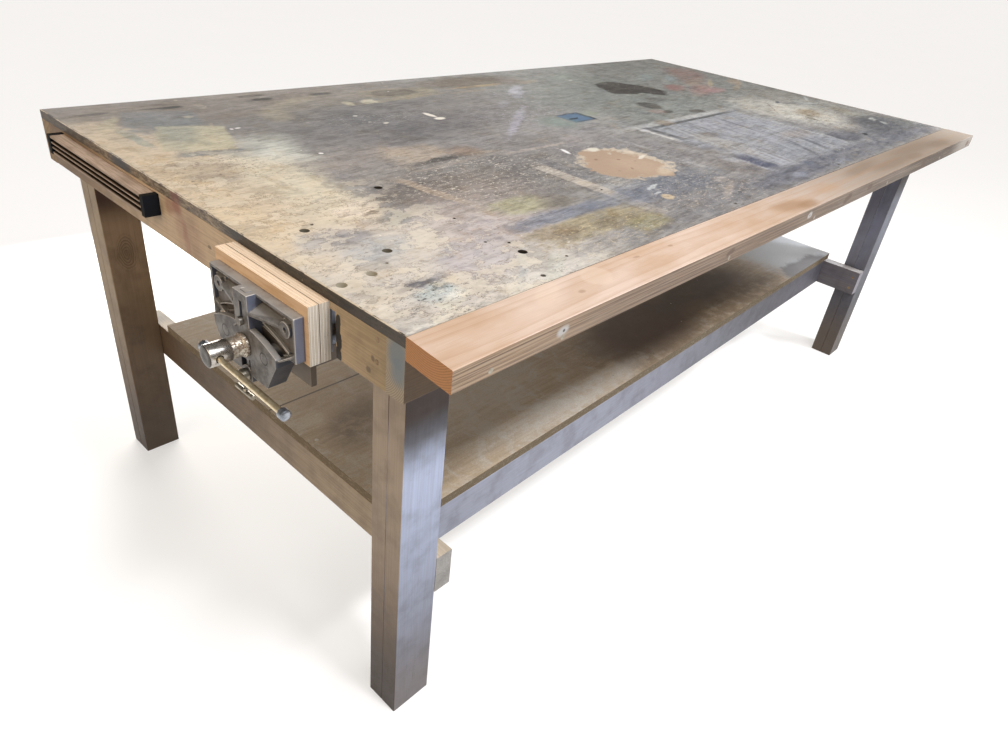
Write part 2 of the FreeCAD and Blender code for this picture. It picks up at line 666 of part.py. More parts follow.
def make_moving_jaw():
    """The front jaw casting with its liner, guide rods and tie plate."""
    plate_low = f"({JAW_TOP} - jaw_high)"
    plate = box(
        "jaw_plate",
        (PLATE_FRONT, "vise_centre - jaw_wide / 2", plate_low),
        ("plate_deep", "jaw_wide", "jaw_high"),
    )
    pocket = box(
        "jaw_pocket",
        (f"{PLATE_FRONT} - 1", "vise_centre - jaw_wide / 2 + rim", f"{plate_low} + rim"),
        ("pocket_deep + 1", "jaw_wide - 2 * rim", "jaw_high - 2 * rim"),
    )
    full_deep = "plate_deep + boss_proud"
    skirt_outline = [
        ("-skirt_half", "skirt_rise + 10"),
        ("-skirt_half", "-2"),
        ("-skirt_foot", "-skirt_low"),
        ("skirt_foot", "-skirt_low"),
        ("skirt_half", "-2"),
        ("skirt_half", "skirt_rise + 10"),
    ]
    skirt_place = (BOSS_FRONT, "vise_centre", SCREW_Z)
    skirt = padded("jaw_skirt", "yz", skirt_outline, skirt_place, full_deep)
    round_place = (BOSS_FRONT, "vise_centre", f"{SCREW_Z} + skirt_rise - skirt_radius")
    skirt_round = rod("jaw_skirt_round", round_place, "skirt_radius", full_deep, "+x")
    castings = [
        cut("jaw_dished", plate, [pocket]),
        common("jaw_skirt_arched", skirt, skirt_round),
        box(
            "jaw_boss",
            (BOSS_FRONT, "vise_centre - boss_wide / 2", SCREW_Z),
            (full_deep, "boss_wide", f"{JAW_TOP} - {SCREW_Z}"),
        ),
        rod("jaw_release_boss", (BOSS_FRONT, "vise_centre", RELEASE_Z), "release_boss", full_deep, "+x"),
    ]
    screw_level = f"{JAW_TOP} - liner_screw_drop"
    for side in "-+":
        place = (PLATE_FRONT, f"vise_centre {side} liner_screw_out", screw_level)
        castings.append(rod(f"jaw_screw_boss_{len(castings)}", place, "screw_head + 5", "plate_deep", "+x"))
        rib_outline = [
            (f"{side}boss_wide / 2", "-5"),
            (f"{side}liner_screw_out", "4"),
            (f"{side}liner_screw_out", "-3"),
            (f"{side}boss_wide / 2", "-13"),
        ]
        rib_place = (f"{PLATE_FRONT} + 2", "vise_centre", screw_level)
        castings.append(padded(f"jaw_rib_{len(castings)}", "yz", rib_outline, rib_place, "plate_deep - 2"))

    outer_screws, outer_holes = screws(
        "outer_liner_screws",
        [(place, "+x") for place in liner_spots(PLATE_FRONT)],
        "(plate_deep + liner_thick * 0.7)",
    )
    dog_front = f"({BOSS_FRONT} + dog_wall)"
    dog_low = f"({JAW_TOP} - dog_high)"
    clamp_level = f"({JAW_TOP} - clamp_drop)"
    openings = [
        *guide_holes("jaw_guide", f"{BOSS_FRONT} - 1", f"{full_deep} + 2", "running / 2"),
        rod("jaw_bore", (f"{BOSS_FRONT} - 1", "vise_centre", SCREW_Z), "journal_radius + running",
            f"{full_deep} + 2", "+x"),
        rod("jaw_release_bore", (f"{BOSS_FRONT} - 1", "vise_centre", RELEASE_Z), "release_radius + running",
            f"{full_deep} + 2", "+x"),
        box("dog_room", (f"{dog_front} - play", "vise_centre - dog_wide / 2 - play", f"{dog_low} - play"),
            ("dog_deep + 2 * play", "dog_wide + 2 * play", "dog_high + play + 1")),
        box("clamp_slot", (f"{BOSS_FRONT} - 1", "vise_centre - clamp_radius - 1", f"{clamp_level} - clamp_radius - 1"),
            ("dog_wall + 2", "2 * clamp_radius + 2", "dog_lift + 2 * clamp_radius + 2")),
        outer_holes,
    ]
    keep("moving_jaw", cut("moving_jaw", joined("moving_jaw_casting", castings), openings))
    keep("outer_liner", cut("outer_liner", liner("outer_liner", CAST_BACK), [outer_holes]))
    keep("outer_liner_screws", outer_screws)

    # Guide rods from just behind the jaw's front face to the tie plate, with a screw in each rear end
    rod_start = f"({BOSS_FRONT} + 1)"
    end_holes = []
    end_screws = []
    for name, side in (("guide_rod_front", "-"), ("guide_rod_back", "+")):
        along = f"vise_centre {side} rod_out"
        end_holes.append(rod(f"{name}_tapped", ("rod_rear - 20", along, SCREW_Z), "bolt_radius + running / 2", "21", "+x"))
        stem = rod(f"{name}_stem", ("rod_rear - 19", along, SCREW_Z), "bolt_radius", "19 + plate_thick", "+x")
        head = rod(f"{name}_head", ("rod_rear + plate_thick", along, SCREW_Z), "bolt_head", "bolt_thick", "+x")
        end_screws.append(joined(f"{name}_screw", [stem, head]))
        bar = rod(f"{name}_bar", (rod_start, along, SCREW_Z), "rod_radius", f"rod_rear - {rod_start}", "+x")
        keep(name, cut(name, bar, [end_holes[-1]]))
    half = "(rod_out + plate_rim)"
    tie = box(
        "tie_blank",
        ("rod_rear", f"vise_centre - {half}", f"{RELEASE_Z} - release_boss"),
        ("plate_thick", f"2 * {half}", "release_drop + release_boss + plate_rim"),
    )
    tie_holes = [
        *[rod("tie_hole", ("rod_rear - 1", f"vise_centre {side} rod_out", SCREW_Z), "bolt_radius + running / 2",
              "plate_thick + 2", "+x") for side in "-+"],
        rod("tie_screw_hole", ("rod_rear - 1", "vise_centre", SCREW_Z), "tail_radius + running", "plate_thick + 2", "+x"),
        rod("tie_release_hole", ("rod_rear - 1", "vise_centre", RELEASE_Z), "release_radius + running",
            "plate_thick + 2", "+x"),
    ]
    keep("tie_plate", cut("tie_plate", tie, tie_holes))
    keep("tie_plate_screws", group("tie_plate_screws", end_screws))
    return dog_front, dog_low, clamp_level


def along_bar(distance):
    """A place on the tommy bar's axis, from the middle of the hub towards the back."""
    return (
        f"{HUB_FRONT} + bar_set",
        f"vise_centre + ({distance}) * cos(bar_tilt)",
        f"{SCREW_Z} + ({distance}) * sin(bar_tilt)",
    )


def make_screw():
    """Lead screw with its hub, pin and collar, and the tommy bar with its knobs."""
    tilt = Rotation(Vector(1, 0, 0), value("bar_tilt")) * Rotation(Vector(0, 0, 1), AXES["+y"])
    spigot_start = f"({NECK_FRONT} - spigot_long)"
    journal_end = f"({CAST_BACK} + collar_long + 2)"
    stages = (
        ("spigot", spigot_start, "tail_radius", "spigot_long"),
        ("neck", NECK_FRONT, "neck_radius", "neck_long"),
        ("thrust", THRUST_FRONT, "thrust_radius", "thrust_long"),
        ("journal", f"({BOSS_FRONT} - play)", "journal_radius", f"{journal_end} - {BOSS_FRONT} + play"),
        ("thread", journal_end, "thread_radius", f"rod_rear - 4 - {journal_end}"),
        ("tail", "(rod_rear - 4)", "tail_radius", "plate_thick + 9"),
    )
    turned = [
        rod(f"screw_{name}", (start, "vise_centre", SCREW_Z), radius, length, "+x")
        for name, start, radius, length in stages
    ]
    pin_place = (f"{NECK_FRONT} - spigot_long / 2", "vise_centre", f"{SCREW_Z} - hub_radius + 0.5")
    pin_hole = rod("pin_hole", pin_place, "screw_shank + running / 2", "2 * hub_radius", "+z")
    keep("lead_screw", cut("lead_screw", joined("screw_turned", turned), [pin_hole]))

    hub = rod("hub_blank", (HUB_FRONT, "vise_centre", SCREW_Z), "hub_radius", "hub_long", "+x")
    socket = rod("hub_socket", (f"{spigot_start} - running", "vise_centre", SCREW_Z), "tail_radius + running / 2",
                 "spigot_long + 1", "+x")
    bar_hole = rod("hub_bar_hole", along_bar("-hub_radius - 2"), "bar_radius + play", "2 * hub_radius + 4", "+y", tilt)
    keep("screw_hub", cut("screw_hub", hub, [socket, bar_hole, pin_hole]))
    keep("hub_pin", rod("hub_pin", pin_place, "screw_shank", "2 * hub_radius - 1", "+z"))

    collar_start = f"({CAST_BACK} + play)"
    ring = rod("collar_blank", (collar_start, "vise_centre", SCREW_Z), "collar_radius", "collar_long", "+x")
    ring_hole = rod("collar_hole", (f"{collar_start} - 1", "vise_centre", SCREW_Z), "journal_radius + running / 2",
                    "collar_long + 2", "+x")
    keep("screw_collar", cut("screw_collar", ring, [ring_hole]))

    # The bar rests with its back knob against the hub
    back = "(hub_radius + play)"
    front = f"({back} - bar_long)"
    seat = "(knob_long - 3)"
    keep("tommy_bar", rod("tommy_bar", along_bar(f"{front} - {seat}"), "bar_radius", f"bar_long + 2 * {seat}", "+y", tilt))
    knobs = []
    for name, start, hole_start in (
        ("front_knob", f"{front} - knob_long", f"{front} - {seat} - running"),
        ("back_knob", back, f"{back} - 1"),
    ):
        blank = rod(f"{name}_blank", along_bar(start), "knob_radius", "knob_long", "+y", tilt)
        doc.recompute()
        rounded = doc.addObject("Part::Fillet", f"{name}_rounded")
        rounded.Base = blank
        rims = [i for i, edge in enumerate(blank.Shape.Edges, start=1) if len(edge.Vertexes) == 1]
        radius = value("knob_radius") * 0.25
        rounded.Edges = [(i, radius, radius) for i in rims]
        hole = rod(f"{name}_hole", along_bar(hole_start), "bar_radius + running / 2", f"{seat} + 1 + running", "+y", tilt)
        knobs.append(cut(name, rounded, [hole]))
    keep("tommy_knobs", group("tommy_knobs", knobs))


def make_dog(dog_front, dog_low, clamp_level):
    """The dog that rises out of the moving jaw, and the screw that clamps it."""
    blank = box("dog_blank", (dog_front, "vise_centre - dog_wide / 2", dog_low), ("dog_deep", "dog_wide", "dog_high"))
    seat = "(dog_deep * 0.7)"
    hole_place = (f"{dog_front} - 1", "vise_centre", clamp_level)
    hole = rod("dog_hole", hole_place, "clamp_radius + running", f"{seat} + 1 + running", "+x")
    keep("front_dog", cut("front_dog", blank, [hole]))

    head_front = f"({BOSS_FRONT} - play - clamp_thick)"
    place = (head_front, "vise_centre", clamp_level)
    head = rod("clamp_head", place, "clamp_head", "clamp_thick", "+x")
    stem = rod("clamp_stem", place, "clamp_radius", f"{dog_front} - {head_front} + {seat}", "+x")
    down = Rotation(Vector(0, 0, 1), Vector(0, 1, 0))
    arm_turn = Rotation(Vector(1, 0, 0), -value("clamp_angle")) * down
    arm_place = (f"{head_front} + clamp_thick / 2", "vise_centre", clamp_level)
    arm = rod("clamp_arm", arm_place, "clamp_thick * 0.4", "clamp_arm", "+y", arm_turn)
    keep("clamp_screw", joined("clamp_screw", [head, stem, arm]))


def make_release():
    """Release lever, the rod that it turns, and the spring that brings it back."""
    lever_back = f"({BOSS_FRONT} - play)"
    lever_front = f"({lever_back} - lever_long)"
    seat = "(lever_long * 0.6)"
    boss = rod("lever_boss_round", (lever_front, "vise_centre", RELEASE_Z), "lever_boss", "lever_long", "+x")
    stem = box(
        "lever_stem",
        (f"{lever_front} + 3", "vise_centre - lever_grip / 2", f"{RELEASE_Z} - lever_drop"),
        ("lever_long - 6", "lever_grip", "lever_drop"),
    )
    grip_place = (f"{lever_front} + lever_long / 2", "vise_centre - lever_wide / 2", f"{RELEASE_Z} - lever_drop")
    grip = rod("lever_grip_round", grip_place, "lever_grip / 2", "lever_wide", "+y")
    socket = rod("lever_socket", (f"{lever_back} - {seat}", "vise_centre", RELEASE_Z), "release_radius + running / 2",
                 f"{seat} + 1", "+x")
    keep("release_lever", cut("release_lever", joined("lever_blank", [boss, stem, grip]), [socket]))

    # The flat faces away from the nut's foot at rest and comes under it as the lever turns
    rod_start = f"({lever_back} - {seat} + running)"
    rod_length = f"rod_rear + plate_thick + 6 - {rod_start}"
    blank = rod("release_blank", (rod_start, "vise_centre", RELEASE_Z), "release_radius", rod_length, "+x")
    flat_start = "(fixed_deep + 2)"
    flat = doc.addObject("Part::Box", "release_flat_tool")
    flat.setExpression("Length", formula(f"rod_rear - 6 - {flat_start}"))
    flat.setExpression("Width", formula("4 * release_radius"))
    flat.setExpression("Height", formula("release_radius"))
    flat.Placement = Placement(Vector(), Rotation(Vector(1, 0, 0), value("release_turn")))
    across, lift = "(-2 * release_radius)", "release_flat"
    locate(flat, (
        flat_start,
        f"vise_centre + {across} * cos(release_turn) - {lift} * sin(release_turn)",
        f"{RELEASE_Z} + {across} * sin(release_turn) + {lift} * cos(release_turn)",
    ))
    keep("release_rod", cut("release_rod", blank, [flat]))

    # Half turns, each tilted by its share of the pitch so that they run into one another
    wire, pitch = value("spring_wire") / 2, value("spring_pitch")
    radius = value("release_radius + running") + wire
    arcs = []
    for k in range(int(value("2 * spring_turns"))):
        side = 1 if k % 2 == 0 else -1
        first = Vector(side * radius, 0, pitch * k / 2)
        last = Vector(-side * radius, 0, pitch * (k + 1) / 2)
        middle = (first + last) / 2 + Vector(0, side * (first - last).Length / 2, 0)
        arcs.append(Part.Arc(first, middle, last).toShape())
    profile = Part.Wire([Part.makeCircle(wire, Vector(radius, 0, 0), Vector(0, 1, 0))])
    coil = Part.Wire(arcs).makePipe(Part.Face(profile))
    spring = doc.addObject("Part::Feature", "release_spring")
    spring.Shape = coil
    spring.Placement = Placement(Vector(), Rotation(Vector(0, 0, 1), AXES["+x"]))
    locate(spring, (f"{CAST_BACK} + play + spring_wire", "vise_centre", RELEASE_Z))
    keep("release_spring", spring)


def write_parts():
    """Check every object, then write each piece to its own file."""
    doc.recompute()
    failed = [obj.Name for obj in doc.Objects if {"Invalid", "Error"} & set(obj.State)]
    if failed:
        raise RuntimeError(f"objects that failed: {failed}")
    for name, obj in nodes.items():
        if obj.Shape.isNull() or not obj.Shape.isValid() or not obj.Shape.Solids:
            raise RuntimeError(f"{name} has no valid solid")
    os.makedirs("parts", exist_ok=True)
    whole = FreeCAD.BoundBox()
    for name, obj in nodes.items():
        obj.Shape.exportStep(f"parts/{name}.step")
        whole.add(obj.Shape.BoundBox)
    print(f"{len(nodes)} pieces, {sum(len(obj.Shape.Solids) for obj in nodes.values())} solids")
    print("box", [round(number, 2) for number in (whole.XMin, whole.YMin, whole.ZMin, whole.XMax, whole.YMax, whole.ZMax)])


make_frame_needs = make_top()
crossbar_holes = make_frame(*make_frame_needs)
make_shelf(crossbar_holes)
make_track()
make_vise_body()
dog_places = make_moving_jaw()
make_screw()
make_dog(*dog_places)
make_release()
write_parts()
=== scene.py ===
import json
import math

import bmesh
import bpy
from mathutils import Matrix, Vector


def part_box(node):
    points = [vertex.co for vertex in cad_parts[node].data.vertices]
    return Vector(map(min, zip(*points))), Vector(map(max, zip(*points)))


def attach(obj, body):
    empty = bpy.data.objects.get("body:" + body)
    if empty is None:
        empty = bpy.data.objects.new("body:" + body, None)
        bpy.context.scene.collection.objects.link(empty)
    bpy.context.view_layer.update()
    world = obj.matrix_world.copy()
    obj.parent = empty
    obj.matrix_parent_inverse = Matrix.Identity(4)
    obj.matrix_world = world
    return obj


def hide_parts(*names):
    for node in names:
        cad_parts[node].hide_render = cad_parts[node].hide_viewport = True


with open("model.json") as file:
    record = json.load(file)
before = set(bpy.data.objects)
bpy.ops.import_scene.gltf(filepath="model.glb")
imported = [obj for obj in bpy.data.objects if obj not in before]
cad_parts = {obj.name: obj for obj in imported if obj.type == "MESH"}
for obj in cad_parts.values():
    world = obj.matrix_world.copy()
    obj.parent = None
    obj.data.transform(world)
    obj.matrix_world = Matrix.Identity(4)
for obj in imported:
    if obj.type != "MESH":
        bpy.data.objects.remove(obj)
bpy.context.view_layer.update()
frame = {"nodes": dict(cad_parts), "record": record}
cadNodes = frame["nodes"]

# Places are written in millimetres from the top's front left corner at floor level
tableCorner = Vector((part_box("edge_band_left")[0].x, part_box("top_panel")[0].y, 0))
millimetre = 0.001

# (y, z) of the vise's screw and of the release rod, and how far out the guide rods lie
screwAxis = (288, 776)
releaseAxis = (288, 722)
rodOut = 54


def place(x, y, z):
    return tableCorner + Vector((x, y, z)) * millimetre


def boxOf(node):
    # low and high corner of a CAD piece, in table millimetres
    return [(corner - tableCorner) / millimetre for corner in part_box(node)]


def addObject(name, data):
    thing = bpy.data.objects.new(name, data)
    bpy.context.scene.collection.objects.link(thing)
    return thing


def colour(code):
    # "c8b49a" as the linear colour that the shaders use
    parts = [int(code[i:i + 2], 16) / 255 for i in (0, 2, 4)]
    return tuple(p / 12.92 if p <= 0.04045 else ((p + 0.055) / 1.055) ** 2.4 for p in parts)


def feed(tree, socket, value):
    if isinstance(value, bpy.types.NodeSocket):
        tree.links.new(value, socket)
    elif isinstance(value, str):
        socket.default_value = (*colour(value), 1)
    else:
        socket.default_value = value


def addNode(tree, kind, inputs=None, **settings):
    node = tree.nodes.new(kind)
    for name, value in settings.items():
        setattr(node, name, value)
    for key, value in (inputs or {}).items():
        feed(tree, node.inputs[key], value)
    return node


cameraSettings = {
    "at": (-527.6, -598.5, 1361.0),
    "yaw": 39.22,
    "pitch": -32.64,
    "roll": 7.23,
    "lens": 25.643,
    "sensor": 36,
    "clip": (0.05, 500),
}


def makeCamera():
    data = bpy.data.cameras.new("camera")
    camera = addObject("camera", data)
    yaw, pitch, roll = (math.radians(cameraSettings[k]) for k in ("yaw", "pitch", "roll"))
    forward = Vector((math.cos(pitch) * math.cos(yaw), math.cos(pitch) * math.sin(yaw), math.sin(pitch)))
    right = forward.cross(Vector((0, 0, 1))).normalized()
    up = right.cross(forward)
    tiltedRight = right * math.cos(roll) + up * math.sin(roll)
    tiltedUp = up * math.cos(roll) - right * math.sin(roll)
    turn = Matrix((tiltedRight, tiltedUp, -forward)).transposed().to_4x4()
    camera.matrix_world = Matrix.Translation(place(*cameraSettings["at"])) @ turn
    data.sensor_width = cameraSettings["sensor"]
    data.lens = cameraSettings["lens"]
    data.clip_start, data.clip_end = cameraSettings["clip"]
    bpy.context.scene.camera = camera


lightSettings = {
    "sun": {"towards": (-0.12, 0.6, -1.0), "strength": 1.75, "soft": 9, "colour": (0.95, 0.98, 1.05)},
    "fill": {"towards": (1.0, 0.12, -0.6), "strength": 1.5, "soft": 60, "colour": (1.0, 0.86, 0.7)},
    "spot": {"at": (3100, -865, 1896), "aim": (2215, 255, 396), "watts": 100, "degrees": 19,
             "blend": 0.7, "size": 0.12, "colour": (0.96, 0.98, 1.04)},
    "window": {"at": (3600, 420, 1000), "aim": (2265, 320, 396), "watts": 80, "degrees": 15,
               "blend": 0.7, "size": 0.12, "colour": (0.96, 0.98, 1.04)},
    "tube": {"at": (1500, -1250, 2800), "aim": (1500, 300, 900), "long": 4.2, "wide": 0.35, "watts": 85,
             "colour": (0.96, 0.98, 1.04)},
    "back": {"at": (1750, 2400, 620), "aim": (1500, 300, 140), "long": 3.0, "wide": 0.8, "watts": 110,
             "colour": (1.0, 0.97, 0.93)},
    "sky": {"strength": 0.2, "seen": 0.9, "colour": (1.0, 0.94, 0.86)},
    "floor": {"colour": "b4b2af", "glow": 0.5, "reach": 200},
}


def makeLights():
    for name in ("sun", "fill"):
        values = lightSettings[name]
        data = bpy.data.lights.new(name, "SUN")
        data.energy = values["strength"]
        data.angle = math.radians(values["soft"])
        data.color = values["colour"]
        lamp = addObject(name, data)
        lamp.rotation_euler = Vector(values["towards"]).to_track_quat("-Z", "Y").to_euler()
    for name, kind in (("tube", "AREA"), ("back", "AREA"), ("spot", "SPOT"), ("window", "SPOT")):
        values = lightSettings[name]
        data = bpy.data.lights.new(name, kind)
        if kind == "AREA":
            data.shape = "RECTANGLE"
            data.size = values["long"]
            data.size_y = values["wide"]
        else:
            data.spot_size = math.radians(values["degrees"])
            data.spot_blend = values["blend"]
            data.shadow_soft_size = values["size"]
        data.energy = values["watts"]
        data.color = values["colour"]
        lamp = addObject(name, data)
        turn = (place(*values["aim"]) - place(*values["at"])).to_track_quat("-Z", "Y").to_matrix().to_4x4()
        lamp.matrix_world = Matrix.Translation(place(*values["at"])) @ turn
        lamp.visible_camera = False
    # the backdrop is seen pale, but lights the table only dimly
    sky = lightSettings["sky"]
    world = bpy.data.worlds.new("studio")
    world.use_nodes = True
    tree = world.node_tree
    dim = tree.nodes["Background"]
    dim.inputs["Color"].default_value = (*sky["colour"], 1)
    dim.inputs["Strength"].default_value = sky["strength"]
    seen = addNode(tree, "ShaderNodeBackground", {"Color": (1, 1, 1, 1), "Strength": sky["seen"]}).outputs[0]
    path = addNode(tree, "ShaderNodeLightPath").outputs["Is Camera Ray"]
    choice = addNode(tree, "ShaderNodeMixShader", {0: path, 1: dim.outputs[0], 2: seen}).outputs[0]
    tree.links.new(choice, tree.nodes["World Output"].inputs["Surface"])
    bpy.context.scene.world = world
    bpy.context.scene.view_settings.view_transform = "Standard"


patchInputs = ("Where", "Centre", "Half", "Angle", "Round", "Soft", "Fray")


def makePatchGroup():
    # a soft-edged area, from rectangle (Round 0) to ellipse (Round 1)
    group = bpy.data.node_groups.new("paintedArea", "ShaderNodeTree")
    for name in patchInputs:
        kind = "NodeSocketVector" if name in ("Where", "Centre", "Half") else "NodeSocketFloat"
        group.interface.new_socket(name, in_out="INPUT", socket_type=kind)
    group.interface.new_socket("Mask", in_out="OUTPUT", socket_type="NodeSocketFloat")
    given = addNode(group, "NodeGroupInput").outputs

    def vector(operation, *values):
        return addNode(group, "ShaderNodeVectorMath", dict(enumerate(values)), operation=operation).outputs

    def maths(operation, *values):
        return addNode(group, "ShaderNodeMath", dict(enumerate(values)), operation=operation).outputs[0]

    inputs = {"Vector": vector("SUBTRACT", given["Where"], given["Centre"])[0], "Angle": given["Angle"]}
    turned = addNode(group, "ShaderNodeVectorRotate", inputs, rotation_type="Z_AXIS").outputs[0]
    flat = vector("MULTIPLY", vector("DIVIDE", turned, given["Half"])[0], (1, 1, 0))[0]
    parts = addNode(group, "ShaderNodeSeparateXYZ", {0: vector("ABSOLUTE", flat)[0]}).outputs
    inputs = {0: given["Round"], 2: maths("MAXIMUM", parts[0], parts[1]), 3: vector("LENGTH", flat)["Value"]}
    reach = addNode(group, "ShaderNodeMix", inputs).outputs[0]
    inputs = {"Value": maths("ADD", reach, given["Fray"]), "From Min": maths("ADD", 1, given["Soft"]),
              "From Max": maths("SUBTRACT", 1, given["Soft"])}
    mask = addNode(group, "ShaderNodeMapRange", inputs, interpolation_type="SMOOTHSTEP").outputs[0]
    addNode(group, "NodeGroupOutput", {"Mask": mask})
    return group


patchGroup = makePatchGroup()


class Finish:
    # one material; base is its colour so far, and lay() puts the next one over it
    def __init__(self, name, roughness=0.6, metal=0.0):
        self.material = bpy.data.materials.new(name)
        self.material.use_nodes = True
        self.tree = self.material.node_tree
        self.inputs = self.tree.nodes["Principled BSDF"].inputs
        self.inputs["Roughness"].default_value = roughness
        self.inputs["Metallic"].default_value = metal
        coords = self.add("ShaderNodeTexCoord")
        away = tuple(-c / millimetre for c in tableCorner)
        self.where = self.vector("MULTIPLY_ADD", coords.outputs["Object"], (1 / millimetre,) * 3, away)
        self.x, self.y, self.z = self.split(self.where)
        self.nx, self.ny, self.nz = self.split(coords.outputs["Normal"])

    def add(self, kind, inputs=None, **settings):
        return addNode(self.tree, kind, inputs, **settings)

    def split(self, value):
        return self.add("ShaderNodeSeparateXYZ", {0: value}).outputs

    def vector(self, operation, first, second=(0, 0, 0), third=(0, 0, 0)):
        inputs = {0: first, 1: second, 2: third}
        return self.add("ShaderNodeVectorMath", inputs, operation=operation).outputs[0]

    def maths(self, operation, first, second=0.0, third=0.0):
        return self.add("ShaderNodeMath", {0: first, 1: second, 2: third}, operation=operation).outputs[0]

    def levels(self, value, low, high, first=0.0, last=1.0):
        inputs = {"Value": value, "From Min": low, "From Max": high, "To Min": first, "To Max": last}
        return self.add("ShaderNodeMapRange", inputs, interpolation_type="SMOOTHSTEP").outputs[0]

    def stretched(self, stretch, where=None):
        spot = where or self.where
        return spot if stretch == (1, 1, 1) else self.vector("DIVIDE", spot, stretch)

    def noise(self, size, detail=3, rough=0.55, stretch=(1, 1, 1), where=None, warp=0.0):
        # size is that of the marks, in millimetres
        spot = self.stretched(stretch, where)
        inputs = {"Vector": spot, "Scale": 1 / size, "Detail": detail, "Roughness": rough, "Distortion": warp}
        return self.add("ShaderNodeTexNoise", inputs).outputs["Fac"]

    def warped(self, size, reach, detail=2):
        inputs = {"Vector": self.where, "Scale": 1 / size, "Detail": detail}
        shake = self.add("ShaderNodeTexNoise", inputs).outputs["Color"]
        centred = self.vector("SUBTRACT", shake, (0.5, 0.5, 0.5))
        return self.vector("MULTIPLY_ADD", centred, (2 * reach,) * 3, self.where)

    def specks(self, size, share, reach, stretch=(1, 1, 1), where=None):
        # small marks of many sizes, in that share of the cells; reach is that of the largest, in cells
        spot = self.stretched(stretch, where)
        cells = self.add("ShaderNodeTexVoronoi", {"Vector": spot, "Scale": 1 / size})
        chance = self.split(cells.outputs["Color"])[0]
        spread = self.maths("MULTIPLY_ADD", chance, -reach / share, reach)
        return self.levels(self.maths("SUBTRACT", cells.outputs["Distance"], spread), 0.02, -0.03)

    def tilted(self, degrees, where=None):
        # the same place in axes turned about Z
        inputs = {"Vector": where or self.where, "Angle": math.radians(degrees)}
        return self.add("ShaderNodeVectorRotate", inputs, rotation_type="Z_AXIS").outputs[0]

    def mix(self, share, first, second, blend="MIX"):
        node = self.add("ShaderNodeMix", {0: share, 6: first, 7: second}, data_type="RGBA", blend_type=blend)
        return node.outputs[2]

    def lay(self, share, code, blend="MIX"):
        self.base = self.mix(share, self.base, code, blend)

    def scaled(self, value, amount):
        return self.maths("MULTIPLY", value, amount)

    def total(self, first, *others):
        # the sum of (value, weight) pairs
        found = self.scaled(*first)
        for value, weight in others:
            found = self.maths("MULTIPLY_ADD", value, weight, found)
        return found

    def reach(self, y, z):
        # distance from a line that runs along X
        across = self.maths("SUBTRACT", self.y, y)
        down = self.maths("SUBTRACT", self.z, z)
        return self.maths("SQRT", self.maths("MULTIPLY_ADD", across, across, self.scaled(down, down)))

    def near(self, value, middle, outer, inner, strength=1.0):
        # a line where value is close to middle
        gap = self.maths("ABSOLUTE", self.maths("SUBTRACT", value, middle))
        return self.levels(gap, outer, inner, 0, strength)

    def patch(self, x, y, halfX, halfY, angle=0, roundness=1, soft=0.2, where=None, fray=0.0):
        node = self.add("ShaderNodeGroup", node_tree=patchGroup)
        spot = where or self.where
        values = (spot, (x, y, 0), (halfX, halfY, 1), -math.radians(angle), roundness, soft, fray)
        for name, value in zip(patchInputs, values):
            feed(self.tree, node.inputs[name], value)
        return node.outputs[0]

    def chained(self, where):
        # the same place, worked out after the colour so far, so that the patches come one by one
        return self.vector("MULTIPLY_ADD", self.base, (1e-5,) * 3, where)

    def paint(self, patches, edges, wear):
        # the edge is ragged where none is given; each patch waits for the one before it
        for x, y, halfX, halfY, angle, roundness, soft, strength, code, *edge in patches:
            where, fray = edges[edge[0] if edge else "ragged"]
            mask = self.patch(x, y, halfX, halfY, angle, roundness, soft, self.chained(where), fray)
            share = self.scaled(mask, strength)
            if strength < 0.9:
                share = self.scaled(share, wear)
            self.lay(share, code)

    def rings(self, along, pith, spacing, wander=6, drift=900):
        # growth rings round a pith that runs along one axis; 1 is the dark late wood
        bend = 90
        across = [a for a in "xyz" if a != along]
        spot = self.stretched(tuple(drift / bend if a == along else 1 for a in "xyz"))
        shake = self.add("ShaderNodeTexNoise", {"Vector": spot, "Scale": 1 / bend})
        moves = self.split(shake.outputs["Color"])
        offsets = []
        for axis, centre, move in zip(across, pith, moves[:2]):
            bent = self.maths("MULTIPLY_ADD", move, 2 * wander, -centre - wander)
            offsets.append(self.maths("ADD", getattr(self, axis), bent))
        squares = [self.scaled(o, o) for o in offsets]
        radius = self.maths("SQRT", self.maths("ADD", *squares))
        turn = self.maths("FRACT", self.maths("DIVIDE", radius, spacing))
        return self.maths("POWER", turn, 2.2)

    def fibres(self, along, size=1.2, length=60):
        stretch = tuple(length if a == along else 1 for a in "xyz")
        return self.noise(size, detail=2, stretch=stretch)

    def facing(self, axis, low=0.6, high=0.8):
        # 1 where the surface faces that way, such as "-x"
        value = getattr(self, "n" + axis[1])
        if axis[0] == "-":
            value = self.scaled(value, -1)
        elif axis[0] == "|":
            value = self.maths("ABSOLUTE", value)
        return self.levels(value, low, high)

    def done(self, roughness=None, height=None, depth=0.0, strength=0.7):
        # depth is that of the relief, in millimetres
        found = {"Base Color": self.base}
        if height is not None:
            inputs = {"Height": height, "Distance": depth * millimetre, "Strength": strength}
            found["Roughness"] = roughness
            found["Normal"] = self.add("ShaderNodeBump", inputs).outputs[0]
        for name, value in found.items():
            feed(self.tree, self.inputs[name], value)
        return self.material


